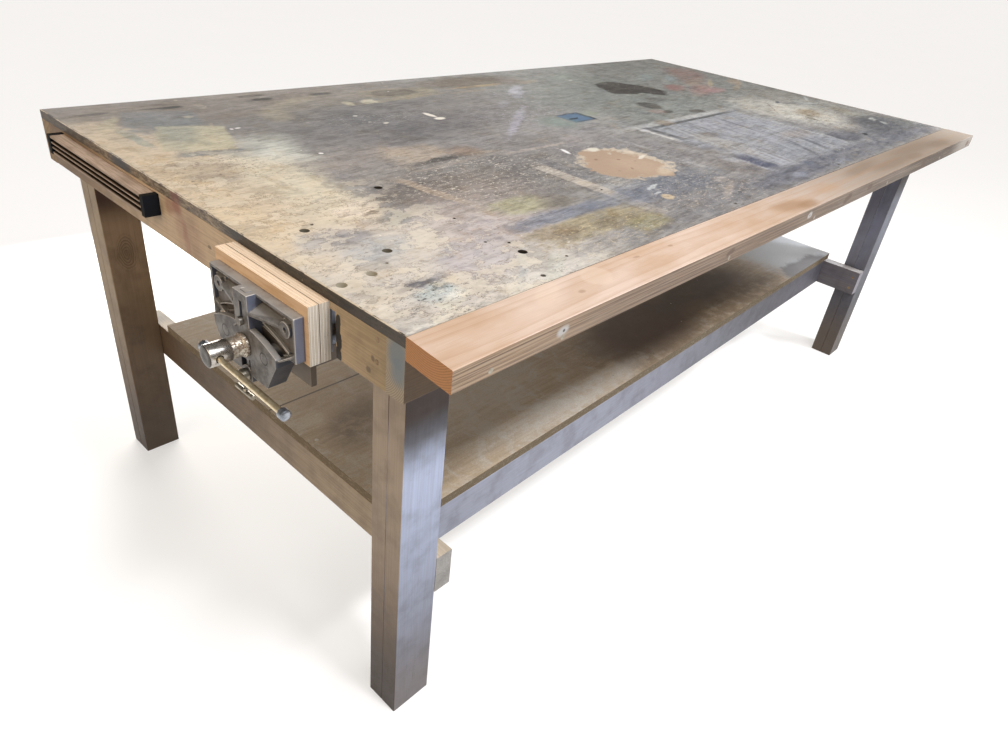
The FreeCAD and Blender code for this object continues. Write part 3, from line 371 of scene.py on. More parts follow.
# centre x, centre y, half x, half y, angle, round, soft, strength, colour, and the edge if it isn't ragged
topPatches = [
    # broad grounds
    (1900, 900, 900, 500, 0, 1, 0.6, 0.8, "7a7e7a", "soft"),
    (1500, 720, 330, 300, 0, 1, 0.6, 0.6, "818783", "soft"),
    (1120, 620, 200, 130, 0, 1, 0.6, 0.5, "949292", "soft"),
    (350, 1120, 480, 130, 0, 1, 0.5, 0.8, "766b60", "soft"),
    (400, 900, 240, 200, 30, 1, 0.6, 0.7, "6f6b68", "soft"),
    (640, 850, 360, 150, 28, 1, 0.6, 0.89, "59595b", "soft"),
    (950, 900, 260, 170, 30, 1, 0.6, 0.6, "7a7573", "soft"),
    (460, 730, 130, 90, 30, 1, 0.6, 0.6, "8c8783"),
    (440, 600, 190, 90, 0, 1, 0.6, 0.6, "948b83"),
    (600, 420, 330, 150, 0, 1, 0.5, 0.8, "6f6a65"),
    (430, 400, 180, 60, 0, 0.7, 0.4, 0.7, "6b625b"),
    (640, 330, 70, 130, 0, 1, 0.5, 0.6, "6a6867"),
    (720, 760, 240, 90, 5, 1, 0.6, 0.7, "5f5e60"),
    (850, 560, 210, 120, 0, 1, 0.6, 0.5, "7f7c7b"),
    (1050, 350, 190, 200, 0, 1, 0.5, 0.5, "78777a"),
    (2200, 90, 220, 60, 0, 1, 0.6, 0.7, "5d6067"),
    # the cream end
    (118, 620, 132, 330, 0, 0.2, 0.2, 0.95, "c2b197"),
    (110, 380, 118, 180, 0, 0.3, 0.2, 0.95, "c2b197"),
    (45, 900, 52, 190, 4, 0.3, 0.25, 0.9, "bdac93"),
    (190, 150, 235, 190, -8, 0.5, 0.25, 0.93, "bfb6a9"),
    (350, 60, 170, 70, 0, 0.6, 0.4, 0.85, "c3bcb1"),
    (380, 230, 130, 120, 20, 1, 0.5, 0.75, "b3a8a2"),
    (500, 330, 120, 80, 0, 1, 0.6, 0.5, "9a8f86"),
    (35, 560, 42, 340, 0, 0.8, 0.5, 0.7, "c9b494"),
    (55, 430, 60, 120, 0, 1, 0.6, 0.5, "cdb99b"),
    (205, 600, 66, 200, 0, 0.4, 0.5, 0.75, "c9c0a9"),
    (110, 700, 62, 46, -20, 1, 0.5, 0.6, "a08f78"),
    (95, 650, 50, 22, -30, 1, 0.5, 0.6, "8f8475"),
    (88, 742, 60, 10, -18, 1, 0.5, 0.6, "8a7b68"),
    (180, 570, 8, 60, 4, 1, 0.5, 0.3, "8d7c67"),
    (145, 520, 10, 70, -3, 1, 0.5, 0.2, "a48f75"),
    (275, 760, 60, 70, -35, 1, 0.6, 0.85, "c8c8bb"),
    (320, 830, 60, 40, -30, 1, 0.6, 0.6, "a9a99f"),
    (285, 690, 60, 30, -20, 1, 0.5, 0.6, "c9c7b8"),
    (225, 780, 60, 40, 20, 1, 0.5, 0.6, "8c8b86"),
    (110, 305, 62, 32, -12, 0.5, 0.2, 0.85, "8e8a88"),
    (60, 300, 24, 40, -20, 0.6, 0.4, 0.6, "b7b0a6"),
    (140, 235, 62, 34, 8, 0.7, 0.35, 0.75, "a3a4a3"),
    (250, 322, 36, 24, 14, 0.6, 0.3, 0.85, "7e807d"),
    (222, 395, 52, 26, 14, 0.6, 0.3, 0.85, "d6c6b2"),
    (238, 368, 26, 5, 12, 1, 0.4, 0.8, "6e5f50"),
    (100, 372, 20, 5, 25, 1, 0.4, 0.7, "77634e"),
    (170, 330, 70, 20, -10, 1, 0.6, 0.5, "b3a596"),
    (250, 120, 70, 58, 20, 0.6, 0.4, 0.6, "aea5a8"),
    (370, 190, 80, 70, 0, 1, 0.5, 0.6, "ada3a1", "soft"),
    (228, 165, 40, 13, 30, 1, 0.6, 0.5, "80828a"),
    (180, 56, 84, 26, 25, 0.4, 0.3, 0.6, "aca39b"),
    (330, 100, 60, 60, 0, 1, 0.6, 0.4, "a7a19a"),
    # scraped and sprayed marks before the middle
    (535, 600, 84, 46, 8, 0.4, 0.25, 0.8, "a89a88"),
    (505, 640, 44, 30, -20, 1, 0.5, 0.6, "a09281"),
    (560, 543, 74, 12, 4, 1, 0.4, 0.9, "4b4743"),
    (655, 565, 46, 34, 0, 1, 0.5, 0.6, "8d7560"),
    (690, 540, 50, 9, -8, 1, 0.5, 0.6, "9b8c7b"),
    (850, 505, 130, 6, -1, 0.8, 0.5, 0.6, "a89c91"),
    (560, 510, 140, 5, 4, 0.8, 0.5, 0.5, "a59a8c"),
    (1030, 510, 100, 40, 0, 1, 0.5, 0.4, "a19a96", "soft"),
    (402, 400, 13, 80, 10, 0, 0.3, 0.7, "a8957f"),
    (420, 290, 12, 90, 9, 0, 0.35, 0.6, "a6998b"),
    (728, 235, 19, 168, 0, 0, 0.2, 0.89, "b5ab9e", "crisp"),
    (700, 240, 6, 160, 0, 0, 0.4, 0.5, "736c66"),
    (770, 330, 22, 110, 0, 1, 0.5, 0.5, "696c72"),
    (1112, 310, 8, 150, 0, 0, 0.4, 0.6, "9a9a99", "soft"),
    (1222, 590, 9, 60, 0, 0, 0.4, 0.6, "9b978f", "soft"),
    (530, 178, 140, 22, 0, 0.2, 0.3, 0.85, "7a7e88"),
    (860, 165, 210, 50, 0, 0.7, 0.5, 0.8, "6b717d"),
    (960, 150, 130, 60, 0, 0.8, 0.5, 0.6, "5d6168"),
    (900, 60, 400, 60, 0, 0.8, 0.5, 0.6, "6e6f73"),
    (545, 112, 160, 40, 0, 0.15, 0.2, 0.85, "968a6d"),
    (460, 118, 50, 24, 0, 1, 0.4, 0.6, "74604a"),
    (610, 95, 70, 22, 0, 1, 0.4, 0.5, "6d6353"),
    (500, 254, 66, 38, 0, 0.5, 0.3, 0.8, "9f9b7a"),
    (580, 230, 44, 30, 0, 0.8, 0.4, 0.6, "7d776a"),
    (655, 60, 58, 26, 5, 0.4, 0.3, 0.7, "918966"),
    (500, 50, 90, 26, 0, 0.6, 0.4, 0.6, "99948f"),
    (825, 124, 17, 14, 0, 1, 0.2, 0.9, "bba98d"),
    (1005, 75, 66, 10, 24, 1, 0.4, 0.8, "a69c92"),
    (1060, 128, 26, 14, 10, 1, 0.4, 0.7, "a8a09a"),
    (850, 180, 28, 6, 12, 1, 0.3, 0.9, "b6b9b7"),
    (825, 152, 16, 4, 0, 1, 0.3, 0.8, "b4b6b4"),
    # spray left round a panel laid on the sheet
    (1560, 290, 285, 215, 0, 0.1, 0.15, 0.7, "999da5", "soft"),
    (1590, 420, 120, 60, 0, 1, 0.5, 0.5, "9b9aa0", "soft"),
    (1380, 300, 50, 110, 0, 1, 0.5, 0.5, "a09a8d", "soft"),
    (1600, 150, 190, 70, 0, 1, 0.5, 0.5, "757a80", "soft"),
    (1545, 515, 288, 13, 1, 0, 0.7, 0.8, "b7b7b4", "crisp"),
    (1548, 492, 252, 7, 1, 0, 0.5, 0.95, "4f5152", "crisp"),
    (1274, 440, 8, 60, 2, 0, 0.4, 0.9, "c0bdb6"),
    (1276, 485, 18, 14, 2, 1, 0.4, 0.8, "c4c4c6"),
    (1303, 434, 12, 58, 3, 0, 0.5, 0.89, "505255", "crisp"),
    (1270, 150, 9, 74, 0, 0, 0.5, 0.6, "9a9ba0"),
    (1245, 200, 22, 26, 0, 1, 0.5, 0.5, "a3a4a8"),
    (1230, 130, 26, 22, 0, 1, 0.5, 0.6, "55565b"),
    (1824, 300, 9, 200, 0, 0, 0.6, 0.75, "adadaa", "crisp"),
    (1482, 370, 9, 100, -6, 0, 0.8, 0.5, "6d6f73", "crisp"),
    (1650, 390, 8, 90, -6, 0, 0.8, 0.7, "6a6c70", "crisp"),
    (1590, 150, 10, 66, -28, 0, 0.8, 0.8, "4a4e57", "crisp"),
    (1620, 175, 7, 60, -28, 0, 0.8, 0.6, "a0a2a6", "crisp"),
    (1680, 150, 8, 60, -24, 0, 0.8, 0.7, "565961", "crisp"),
    (1650, 150, 7, 60, -24, 0, 0.8, 0.5, "9da0a5", "crisp"),
    (1560, 272, 190, 5, 2, 0, 0.8, 0.5, "6e6f6c", "crisp"),
    (1500, 70, 260, 12, 0, 0.5, 0.5, 0.8, "575b65", "soft"),
    (1350, 45, 220, 30, 0, 0.7, 0.5, 0.7, "5a5c66"),
    (1300, 40, 30, 18, 0, 1, 0.5, 0.8, "a3a6b0"),
    (1570, 30, 40, 12, 0, 1, 0.5, 0.7, "9da1a8"),
    (1730, 240, 70, 34, 0, 1, 0.6, 0.6, "857a70", "soft"),
    (1440, 365, 30, 26, 0, 1, 0.4, 0.7, "6d6254"),
    (1415, 510, 34, 24, 0, 1, 0.4, 0.7, "85755f"),
    (1440, 190, 30, 26, 0, 1, 0.4, 0.5, "77726c"),
    (1306, 158, 30, 56, -6, 0.4, 0.4, 0.93, "474c5f", "soft"),
    (1290, 270, 50, 30, 0, 1, 0.5, 0.5, "64605f"),
    # the far end
    (1800, 50, 700, 46, 0, 0.8, 0.5, 0.75, "5d616b", "soft"),
    (1890, 145, 66, 44, 0, 0.5, 0.35, 0.9, "3f434d"),
    (1990, 150, 90, 46, 0, 0.8, 0.5, 0.7, "585c64"),
    (2000, 121, 14, 6, 15, 1, 0.3, 0.95, "1f242b"),
    (2170, 180, 70, 80, 40, 1, 0.5, 0.85, "4a4e56"),
    (2110, 130, 90, 36, 0, 1, 0.5, 0.6, "565a62"),
    (1900, 300, 60, 200, 0, 1, 0.6, 0.5, "7c7e83", "soft"),
    (2060, 390, 150, 180, 20, 1, 0.6, 0.89, "c8c5ba"),
    (2010, 480, 90, 90, 0, 1, 0.6, 0.6, "a6a39a", "soft"),
    (2115, 360, 70, 40, 10, 1, 0.5, 0.8, "908066"),
    (2030, 310, 12, 30, -15, 1, 0.4, 0.85, "5c5443"),
    (2060, 330, 10, 14, -20, 1, 0.4, 0.7, "665d4b"),
    (2040, 460, 90, 3, 38, 1, 0.4, 0.8, "857c6d"),
    (2300, 400, 110, 120, 10, 1, 0.6, 0.6, "9b9c94"),
    (2310, 320, 40, 40, 0, 1, 0.6, 0.7, "7f7664"),
    (2300, 255, 60, 34, -20, 1, 0.6, 0.6, "a2a49a"),
    (2163, 497, 24, 8, 20, 1, 0.4, 0.9, "38404c"),
    (2230, 455, 90, 14, -28, 1, 0.6, 0.7, "6c7074"),
    (2290, 435, 70, 8, -20, 1, 0.5, 0.7, "adafad"),
    (2360, 470, 50, 6, 35, 1, 0.5, 0.7, "b1b3b0"),
    (2260, 520, 40, 30, 0, 1, 0.6, 0.5, "acaeaa"),
    (2300, 600, 130, 90, 20, 1, 0.6, 0.5, "84817a"),
    (2330, 150, 110, 60, 0, 1, 0.6, 0.8, "5b5f60"),
    (2250, 165, 130, 80, 0, 1, 0.6, 0.89, "4f5257"),
    (2290, 200, 26, 10, 20, 1, 0.5, 0.7, "b3b6b0"),
    (2270, 150, 22, 10, 40, 1, 0.5, 0.7, "afb2ad"),
    (2380, 90, 50, 50, 0, 1, 0.6, 0.6, "5f6463"),
    # spills
    (1712, 900, 88, 62, 20, 1, 0.1, 0.96, "393735", "soft"),
    (1690, 845, 82, 52, 0, 1, 0.12, 0.96, "393735", "soft"),
    (1782, 830, 64, 88, 10, 1, 0.1, 0.96, "393735", "soft"),
    (1575, 665, 42, 40, 0, 1, 0.2, 0.9, "504f4b", "soft"),
    (1568, 590, 28, 18, 0, 1, 0.25, 0.9, "504f4b", "soft"),
    (1680, 547, 36, 20, 0, 1, 0.25, 0.9, "555350", "soft"),
    (1680, 712, 56, 26, 0, 1, 0.5, 0.7, "5e5d59", "soft"),
    (1530, 610, 30, 24, 0, 1, 0.5, 0.5, "957b72", "soft"),
    (1960, 800, 70, 32, 22, 1, 0.5, 0.8, "87625e", "soft"),
    (2050, 740, 110, 40, 20, 1, 0.5, 0.7, "957570", "soft"),
    (2100, 715, 60, 30, 10, 1, 0.5, 0.6, "a07a7c", "soft"),
    (2245, 930, 170, 70, 38, 1, 0.5, 0.75, "857069", "soft"),
    (2300, 980, 80, 80, 30, 1, 0.6, 0.5, "7f6663", "soft"),
    (2210, 800, 70, 10, 30, 1, 0.5, 0.7, "aa9c7e"),
    (2130, 830, 80, 26, 20, 1, 0.5, 0.5, "96836f", "soft"),
    (2280, 720, 110, 12, 22, 1, 0.5, 0.6, "9d8f7c"),
    (2370, 780, 70, 26, 25, 1, 0.5, 0.6, "a08d78"),
    (2000, 960, 80, 26, 20, 1, 0.6, 0.5, "8e9c9c", "soft"),
    (2110, 920, 60, 22, 30, 1, 0.6, 0.5, "8f9da0", "soft"),
    # the far edge
    (885, 1080, 130, 54, -6, 1, 0.25, 0.75, "92866d"),
    (880, 1086, 88, 34, -4, 1, 0.2, 0.95, "5d5549", "soft"),
    (850, 1022, 170, 13, 4, 1, 0.4, 0.7, "948b72"),
    (990, 1090, 40, 30, -50, 1, 0.5, 0.7, "9a927d"),
    (740, 1026, 26, 18, 0, 0.8, 0.3, 0.95, "bcb59c"),
    (672, 1028, 15, 18, 10, 0.8, 0.3, 0.95, "b8b097"),
    (540, 1090, 90, 24, 20, 1, 0.5, 0.7, "9b907a"),
    (440, 1000, 34, 60, -20, 1, 0.5, 0.7, "988f7a"),
    (600, 1060, 120, 40, 10, 1, 0.6, 0.5, "827c6f"),
    (1210, 1130, 190, 60, 0, 1, 0.5, 0.89, "5d4e3c"),
    (1170, 1100, 60, 24, 0, 1, 0.5, 0.7, "5f5243"),
    (1160, 1068, 80, 11, -2, 1, 0.4, 0.85, "a08c64"),
    (1250, 1070, 60, 12, 3, 1, 0.4, 0.8, "a5936f"),
    (1120, 1022, 80, 8, 0, 1, 0.4, 0.6, "988c74"),
    (1440, 1060, 50, 14, 12, 1, 0.5, 0.7, "a2947f"),
    (1370, 1080, 60, 40, 0, 1, 0.6, 0.6, "78695f"),
    (1010, 725, 150, 12, 35, 1, 0.6, 0.8, "a19fa7"),
    (930, 660, 90, 8, 35, 1, 0.6, 0.7, "a5a3ad"),
    (1285, 985, 66, 18, 32, 1, 0.5, 0.9, "b0b0b8"),
    (1255, 935, 60, 14, 32, 1, 0.5, 0.8, "9a99a1"),
    (1100, 860, 60, 14, 35, 1, 0.6, 0.6, "97959c"),
    (1640, 1080, 60, 26, 20, 1, 0.6, 0.7, "7f8e83", "soft"),
    (1623, 1028, 12, 6, 20, 1, 0.3, 0.9, "b9bab5"),
    (1700, 1050, 90, 90, 20, 1, 0.6, 0.4, "7a8079", "soft"),
    # the two masked rectangles near the left
    (190, 1060, 82, 62, -16, 0.2, 0.12, 0.8, "6d7072", "crisp"),
    (170, 1010, 70, 56, -22, 0.2, 0.2, 0.7, "6f7475", "crisp"),
    (185, 895, 72, 92, -20, 0.1, 0.06, 0.89, "b0a98e", "crisp"),
    (165, 930, 40, 60, -20, 0.3, 0.4, 0.7, "7f847b"),
    (205, 860, 30, 50, -20, 0.5, 0.4, 0.6, "bcb397"),
    (228, 890, 4, 92, -22, 0, 0.3, 0.7, "b3aa92", "crisp"),
    (165, 789, 66, 15, -9, 0.3, 0.2, 0.85, "6d7377"),
    (120, 840, 16, 60, 0, 0.6, 0.4, 0.5, "a5a08e"),
    (75, 1055, 14, 60, -38, 0.6, 0.3, 0.7, "aaa187"),
    (70, 1010, 44, 8, -14, 1, 0.4, 0.7, "bfae8e"),
    (78, 940, 12, 70, 4, 0.3, 0.3, 0.8, "8c9186"),
    (50, 900, 16, 100, 0, 0.5, 0.5, 0.5, "a79a84"),
    (250, 1053, 12, 8, 10, 1, 0.3, 0.7, "b0a793"),
    (320, 1130, 10, 26, -10, 1, 0.4, 0.5, "9e9482"),
    # dark slots along the far edge, painted flat: painted shade standing in for slots
    (250, 1141, 30, 10, 0, 0.6, 0.3, 0.97, "161413", "crisp"),
    (210, 1143, 38, 7, 0, 0.6, 0.5, 0.89, "3b332b", "crisp"),
    (490, 1141, 30, 12, 0, 0.6, 0.3, 0.97, "211d19", "crisp"),
    (478, 1181, 38, 10, 0, 0.6, 0.4, 0.89, "332c25", "crisp"),
    (667, 1141, 34, 12, 0, 0.6, 0.4, 0.95, "2a241e", "crisp"),
    (72, 1141, 40, 9, 0, 0.6, 0.5, 0.89, "332a23", "crisp"),
    (235, 1170, 50, 8, 0, 1, 0.6, 0.6, "55493d", "soft"),
    (20, 1141, 22, 6, 0, 1, 0.5, 0.6, "54473b", "soft"),
    # the near corner
    (118, 68, 38, 28, 20, 0.5, 0.4, 0.75, "a6aeac"),
    (122, 72, 26, 18, 20, 0.6, 0.4, 0.6, "b4bcb8"),
    (120, 38, 34, 14, 20, 0.5, 0.3, 0.8, "cbc4b2"),
    (134, 82, 18, 9, 20, 1, 0.5, 0.6, "6a6d6c"),
    (135, 50, 16, 10, 30, 1, 0.5, 0.7, "dcd8cc"),
    (92, 104, 30, 16, 3, 0.6, 0.5, 0.6, "8b888a"),
    (106, 104, 40, 8, 3, 0.6, 0.3, 0.85, "5a585c"),
    (155, 108, 20, 12, 20, 0.6, 0.3, 0.6, "8d8a8c"),
    (330, 25, 60, 14, 35, 0.4, 0.2, 0.6, "bcbbae"),
    (290, 60, 90, 6, 40, 0, 0.5, 0.5, "9ba0a0", "soft"),
    (60, 8, 70, 4, 2, 0.5, 0.5, 0.8, "cfc9bb"),
]

topMarks = [
    # the bare chip and the white marks round it
    (948, 318, 122, 114, 0, 0.55, 0.15, 0.8, "666b71", "torn"),
    (948, 322, 112, 100, 0, 0.5, 0.08, 0.92, "b9ab97", "torn"),
    (942, 316, 94, 86, 0, 0.45, 0.06, 1.0, "9f8974", "torn"),
    (966, 236, 34, 32, 0, 1, 0.1, 1.0, "9f8974", "torn"),
    (938, 412, 50, 26, 10, 1, 0.1, 1.0, "9f8974", "torn"),
    (850, 305, 34, 50, 0, 1, 0.1, 1.0, "9f8974", "torn"),
    (965, 300, 56, 60, 0, 1, 0.6, 0.6, "ad9782", "soft"),
    (880, 330, 40, 50, 0, 1, 0.6, 0.5, "a28b76", "soft"),
    (1000, 240, 50, 16, 20, 1, 0.5, 0.6, "c0b19c"),
    (1040, 380, 30, 12, 60, 1, 0.4, 0.7, "c4b7a4", "torn"),
    (900, 372, 7, 4, 30, 1, 0.4, 0.8, "7d6450", "crisp"),
    (955, 345, 5, 4, 0, 1, 0.4, 0.8, "7d6450", "crisp"),
    (925, 285, 6, 3, 60, 1, 0.4, 0.8, "7d6450", "crisp"),
    (985, 318, 4, 3, 0, 1, 0.4, 0.7, "86705b", "crisp"),
    (880, 290, 4, 3, 0, 1, 0.4, 0.7, "86705b", "crisp"),
    (1034, 330, 22, 8, 20, 1, 0.3, 0.9, "cbc3b4", "torn"),
    (958, 430, 26, 15, 5, 0.8, 0.3, 0.95, "cbc4b4", "torn"),
    (884, 452, 6, 19, -18, 1, 0.3, 0.95, "dad9d6", "crisp"),
    (803, 850, 9, 24, 3, 1, 0.3, 0.95, "ddd6c8", "crisp"),
    (804, 812, 17, 10, 0, 1, 0.3, 0.95, "ddd6c8", "crisp"),
    (355, 692, 5, 5, 0, 1, 0.3, 0.95, "dcd9d4", "crisp"),
    (642, 831, 9, 5, 20, 1, 0.3, 0.9, "c8c1b3", "crisp"),
    (612, 915, 7, 4, 0, 1, 0.3, 0.9, "d2ccc0", "crisp"),
    (300, 928, 7, 4, 15, 1, 0.4, 0.95, "d6d2cd", "crisp"),
    (284, 926, 4, 5, 0, 1, 0.4, 0.95, "d6d2cd", "crisp"),
    # the blue square
    (1195, 664, 52, 39, 1, 0, 0.1, 0.9, "44525e", "crisp"),
    (1190, 666, 44, 34, 1, 0, 0.1, 0.95, "52687d", "crisp"),
    (1205, 660, 16, 26, 0, 0.3, 0.3, 0.6, "5b738b"),
    (1178, 659, 22, 6, 5, 0.5, 0.2, 0.97, "101a24"),
    (1241, 664, 4, 38, 0, 0, 0.3, 0.9, "2b2f33"),
    (1195, 702, 46, 3, 0, 0, 0.4, 0.8, "34373a"),
    (1100, 655, 60, 54, 0, 1, 0.6, 0.6, "72857b", "soft"),
    (1275, 680, 30, 26, 0, 1, 0.6, 0.5, "8e9680", "soft"),
]

# centre x, centre y, half x, half y, strength, colour
fleckedAreas = (
    (560, 420, 230, 130, 0.9, "c6bfb0"), (930, 330, 220, 190, 0.7, "b9b4a8"),
    (960, 90, 180, 80, 0.8, "b8aa9a"), (520, 80, 190, 70, 0.6, "c4b48f"),
    (640, 880, 160, 60, 0.6, "b4b3ae"), (340, 640, 90, 90, 0.6, "6b625a"),
    (110, 690, 110, 90, 0.9, "6d5e4b"), (110, 60, 80, 60, 0.9, "3a3733"),
    (1060, 760, 200, 110, 0.7, "aaa8ae"), (2080, 250, 180, 130, 0.6, "4c4a45"),
    (1250, 960, 120, 80, 0.7, "b7b6bd"), (470, 640, 90, 50, 0.6, "6b5f52"),
)


def makeTopFinish():
    mat = Finish("wornTop", roughness=0.5)
    flakes = mat.noise(30, detail=9, rough=0.72, stretch=(1.4, 1, 1))
    edges = {
        "ragged": (mat.warped(24, 11, detail=8), mat.maths("MULTIPLY_ADD", flakes, 0.9, -0.45)),
        "soft": (mat.warped(90, 26, detail=5), mat.maths("MULTIPLY_ADD", flakes, 0.5, -0.25)),
        "torn": (mat.warped(40, 26, detail=9), mat.maths("MULTIPLY_ADD", flakes, 1.6, -0.8)),
        "crisp": (mat.warped(14, 2.5, detail=6), mat.maths("MULTIPLY_ADD", flakes, 0.3, -0.15)),
    }
    wear = mat.levels(mat.noise(26, detail=8, rough=0.72, stretch=(1.8, 1, 1)), 0.36, 0.54, 0.62, 1.0)
    mottle = mat.noise(220, detail=7, rough=0.62, warp=0.6)
    mat.base = mat.mix(mat.levels(mottle, 0.35, 0.65), "7f7a76", "95938f")
    patina = mat.noise(70, detail=8, rough=0.7, stretch=(1.6, 1, 1))
    mat.lay(mat.levels(patina, 0.5, 0.72, 0, 0.55), "a39a8d")
    mat.lay(mat.levels(patina, 0.5, 0.3, 0, 0.5), "6d6a6b")
    mat.paint(topPatches, edges, wear)

    # brushed and rubbed paint, along the sheet and a little across it
    brushed = mat.warped(120, 9, detail=3)
    streaks = mat.noise(6, detail=6, rough=0.72, stretch=(14, 1, 1), where=brushed)
    sideways = mat.noise(8, detail=6, rough=0.7, stretch=(7, 1, 1), where=mat.tilted(-7, brushed))
    rubbed = mat.total((streaks, 0.5), (sideways, 0.5))
    cream = mat.levels(mat.maths("MULTIPLY_ADD", mat.y, 0.25, mat.x), 560, 330)
    calm = mat.levels(cream, 0, 1, 1, 0.45)
    mat.lay(mat.scaled(calm, mat.levels(rubbed, 0.52, 0.41, 0, 0.42)), "8a837c", "MULTIPLY")
    mat.lay(mat.levels(rubbed, 0.52, 0.62, 0, 0.42), "5f5b55", "SCREEN")
    clouds = mat.noise(34, detail=9, rough=0.75, warp=0.5, stretch=(1.5, 1, 1))
    mat.lay(mat.levels(clouds, 0.53, 0.4, 0, 0.3), "8a8582", "MULTIPLY")
    mat.lay(mat.levels(clouds, 0.53, 0.62, 0, 0.35), "524f49", "SCREEN")
    # warm and cold tints
    tint = mat.noise(48, detail=6, rough=0.7)
    mat.lay(mat.levels(tint, 0.52, 0.66, 0, 0.35), "e6cfa6", "MULTIPLY")
    mat.lay(mat.levels(tint, 0.46, 0.34, 0, 0.35), "b9c0cf", "MULTIPLY")

    # paint that flaked off: pale on the dark parts, brown on the cream ones
    chips = mat.noise(8, detail=8, rough=0.78, stretch=(1.7, 1, 1))
    region = mat.levels(mat.noise(130, detail=3), 0.45, 0.6)
    light = mat.scaled(mat.levels(chips, 0.56, 0.62), mat.levels(region, 0, 1, 0.25, 1))
    mat.lay(mat.scaled(light, 0.42), "bab3a6")
    pits = mat.scaled(mat.levels(chips, 0.44, 0.38), mat.levels(region, 1, 0, 0.3, 1))
    pitShare = mat.scaled(pits, mat.levels(cream, 0, 1, 0.28, 0.7))
    mat.lay(pitShare, "665a4c")
    ragged = edges["crisp"][0]
    layers = mat.noise(58, detail=7, rough=0.7, stretch=(1.3, 1, 1))
    rim = mat.near(layers, 0.53, 0.009, 0.002)
    nearEnd = mat.scaled(cream, mat.levels(mat.y, 860, 740))
    rimShare = mat.scaled(rim, mat.levels(nearEnd, 0, 1, 0.12, 0.55))
    mat.lay(rimShare, "6b5a47")
    lifted = mat.levels(layers, 0.532, 0.56, 0, 0.5)
    mat.lay(mat.scaled(lifted, mat.levels(nearEnd, 0, 1, 0.08, 0.8)), "cfc3ac")
    white = mat.specks(34, 0.16, 0.07, (1.6, 1, 1), ragged)
    mat.lay(mat.scaled(white, 0.85), "dad6cd")
    dark = mat.specks(40, 0.13, 0.07, (1.3, 1, 1), ragged)
    mat.lay(mat.scaled(dark, 0.85), "40372f")
    flecks = mat.specks(17, 0.16, 0.13, (1.8, 1, 1), ragged)
    mat.lay(mat.scaled(flecks, mat.scaled(cream, 0.8)), "55493c")
    fine = mat.specks(11, 0.1, 0.12, (1.5, 1, 1), ragged)
    mat.lay(mat.scaled(fine, region), "d3cec2")
    small = mat.noise(5.5, detail=7, rough=0.78, stretch=(2, 1, 1), where=ragged)
    flecked = mat.levels(small, 0.565, 0.6)
    for x, y, halfX, halfY, strength, code in fleckedAreas:
        mask = mat.patch(x, y, halfX, halfY, 0, 1, 0.5, mat.chained(edges["soft"][0]))
        mat.lay(mat.scaled(flecked, mat.scaled(mask, strength)), code)
    sprayed = mat.patch(1590, 290, 260, 200, 0, 0.2, 0.25, edges["soft"][0])
    swept = mat.noise(13, detail=6, rough=0.7, stretch=(1, 16, 1), where=mat.tilted(14, brushed))
    mat.lay(mat.scaled(sprayed, mat.levels(swept, 0.52, 0.64, 0, 0.42)), "a9abb0")
    mat.lay(mat.scaled(sprayed, mat.levels(swept, 0.48, 0.36, 0, 0.42)), "5b5d63")
    mat.paint(topMarks, edges, wear)
    # scratches, most of them along the sheet
    scratch = mat.levels(mat.noise(1.8, detail=3, stretch=(60, 1, 1), where=brushed), 0.66, 0.74)
    mat.lay(mat.scaled(scratch, mat.scaled(region, 0.5)), "c9c3b8")
    cross = mat.levels(mat.noise(1.8, detail=3, stretch=(1, 40, 1), where=brushed), 0.7, 0.77)
    mat.lay(mat.scaled(cross, 0.3), "b9b2a7")

    # the sheet's own edges, holes and underside
    ply = mat.maths("FRACT", mat.maths("DIVIDE", mat.z, 3.0))
    plies = mat.mix(mat.levels(ply, 0.4, 0.6), "6a523b", "4a3626")
    under = mat.mix(mat.fibres("x", 2.5), "9a7f60", "7c6348")
    plies = mat.mix(mat.levels(mat.z, 896, 884), plies, under)
    mat.lay(mat.levels(mat.z, 899.7, 898.5), plies)
    # the holes' walls: pale filler in the near ones, painted shade in the others
    filled = mat.levels(mat.maths("MULTIPLY_ADD", mat.y, 0.5, mat.x), 330, 170, 0, 0.8)
    inside = mat.mix(filled, "2c251d", "b5ac97")
    holes = mat.scaled(mat.levels(mat.z, 899.7, 899.2), mat.levels(mat.y, 1200, 1190))
    mat.lay(mat.scaled(holes, mat.levels(mat.x, 2, 4)), inside)
    gap = mat.scaled(mat.levels(mat.x, 4.5, 2.5), mat.levels(mat.y, 380, 440))
    mat.lay(mat.scaled(gap, 0.85), "2c241d")
    mat.lay(mat.facing("-z"), under)

    grain = mat.fibres("x", 1.6, 40)
    height = mat.total((clouds, 0.8), (rubbed, 0.5), (light, 0.4), (pits, -0.6), (dark, -1.2), (white, 0.5),
                       (grain, 0.2), (scratch, -0.3))
    rough = mat.maths("MULTIPLY_ADD", patina, 0.4, 0.28)
    rough = mat.maths("MULTIPLY_ADD", light, 0.15, rough)
    return mat.done(rough, height, 0.14, 0.8)


grainStretch = {"x": (90, 1, 1), "y": (1, 90, 1), "z": (1, 1, 90)}


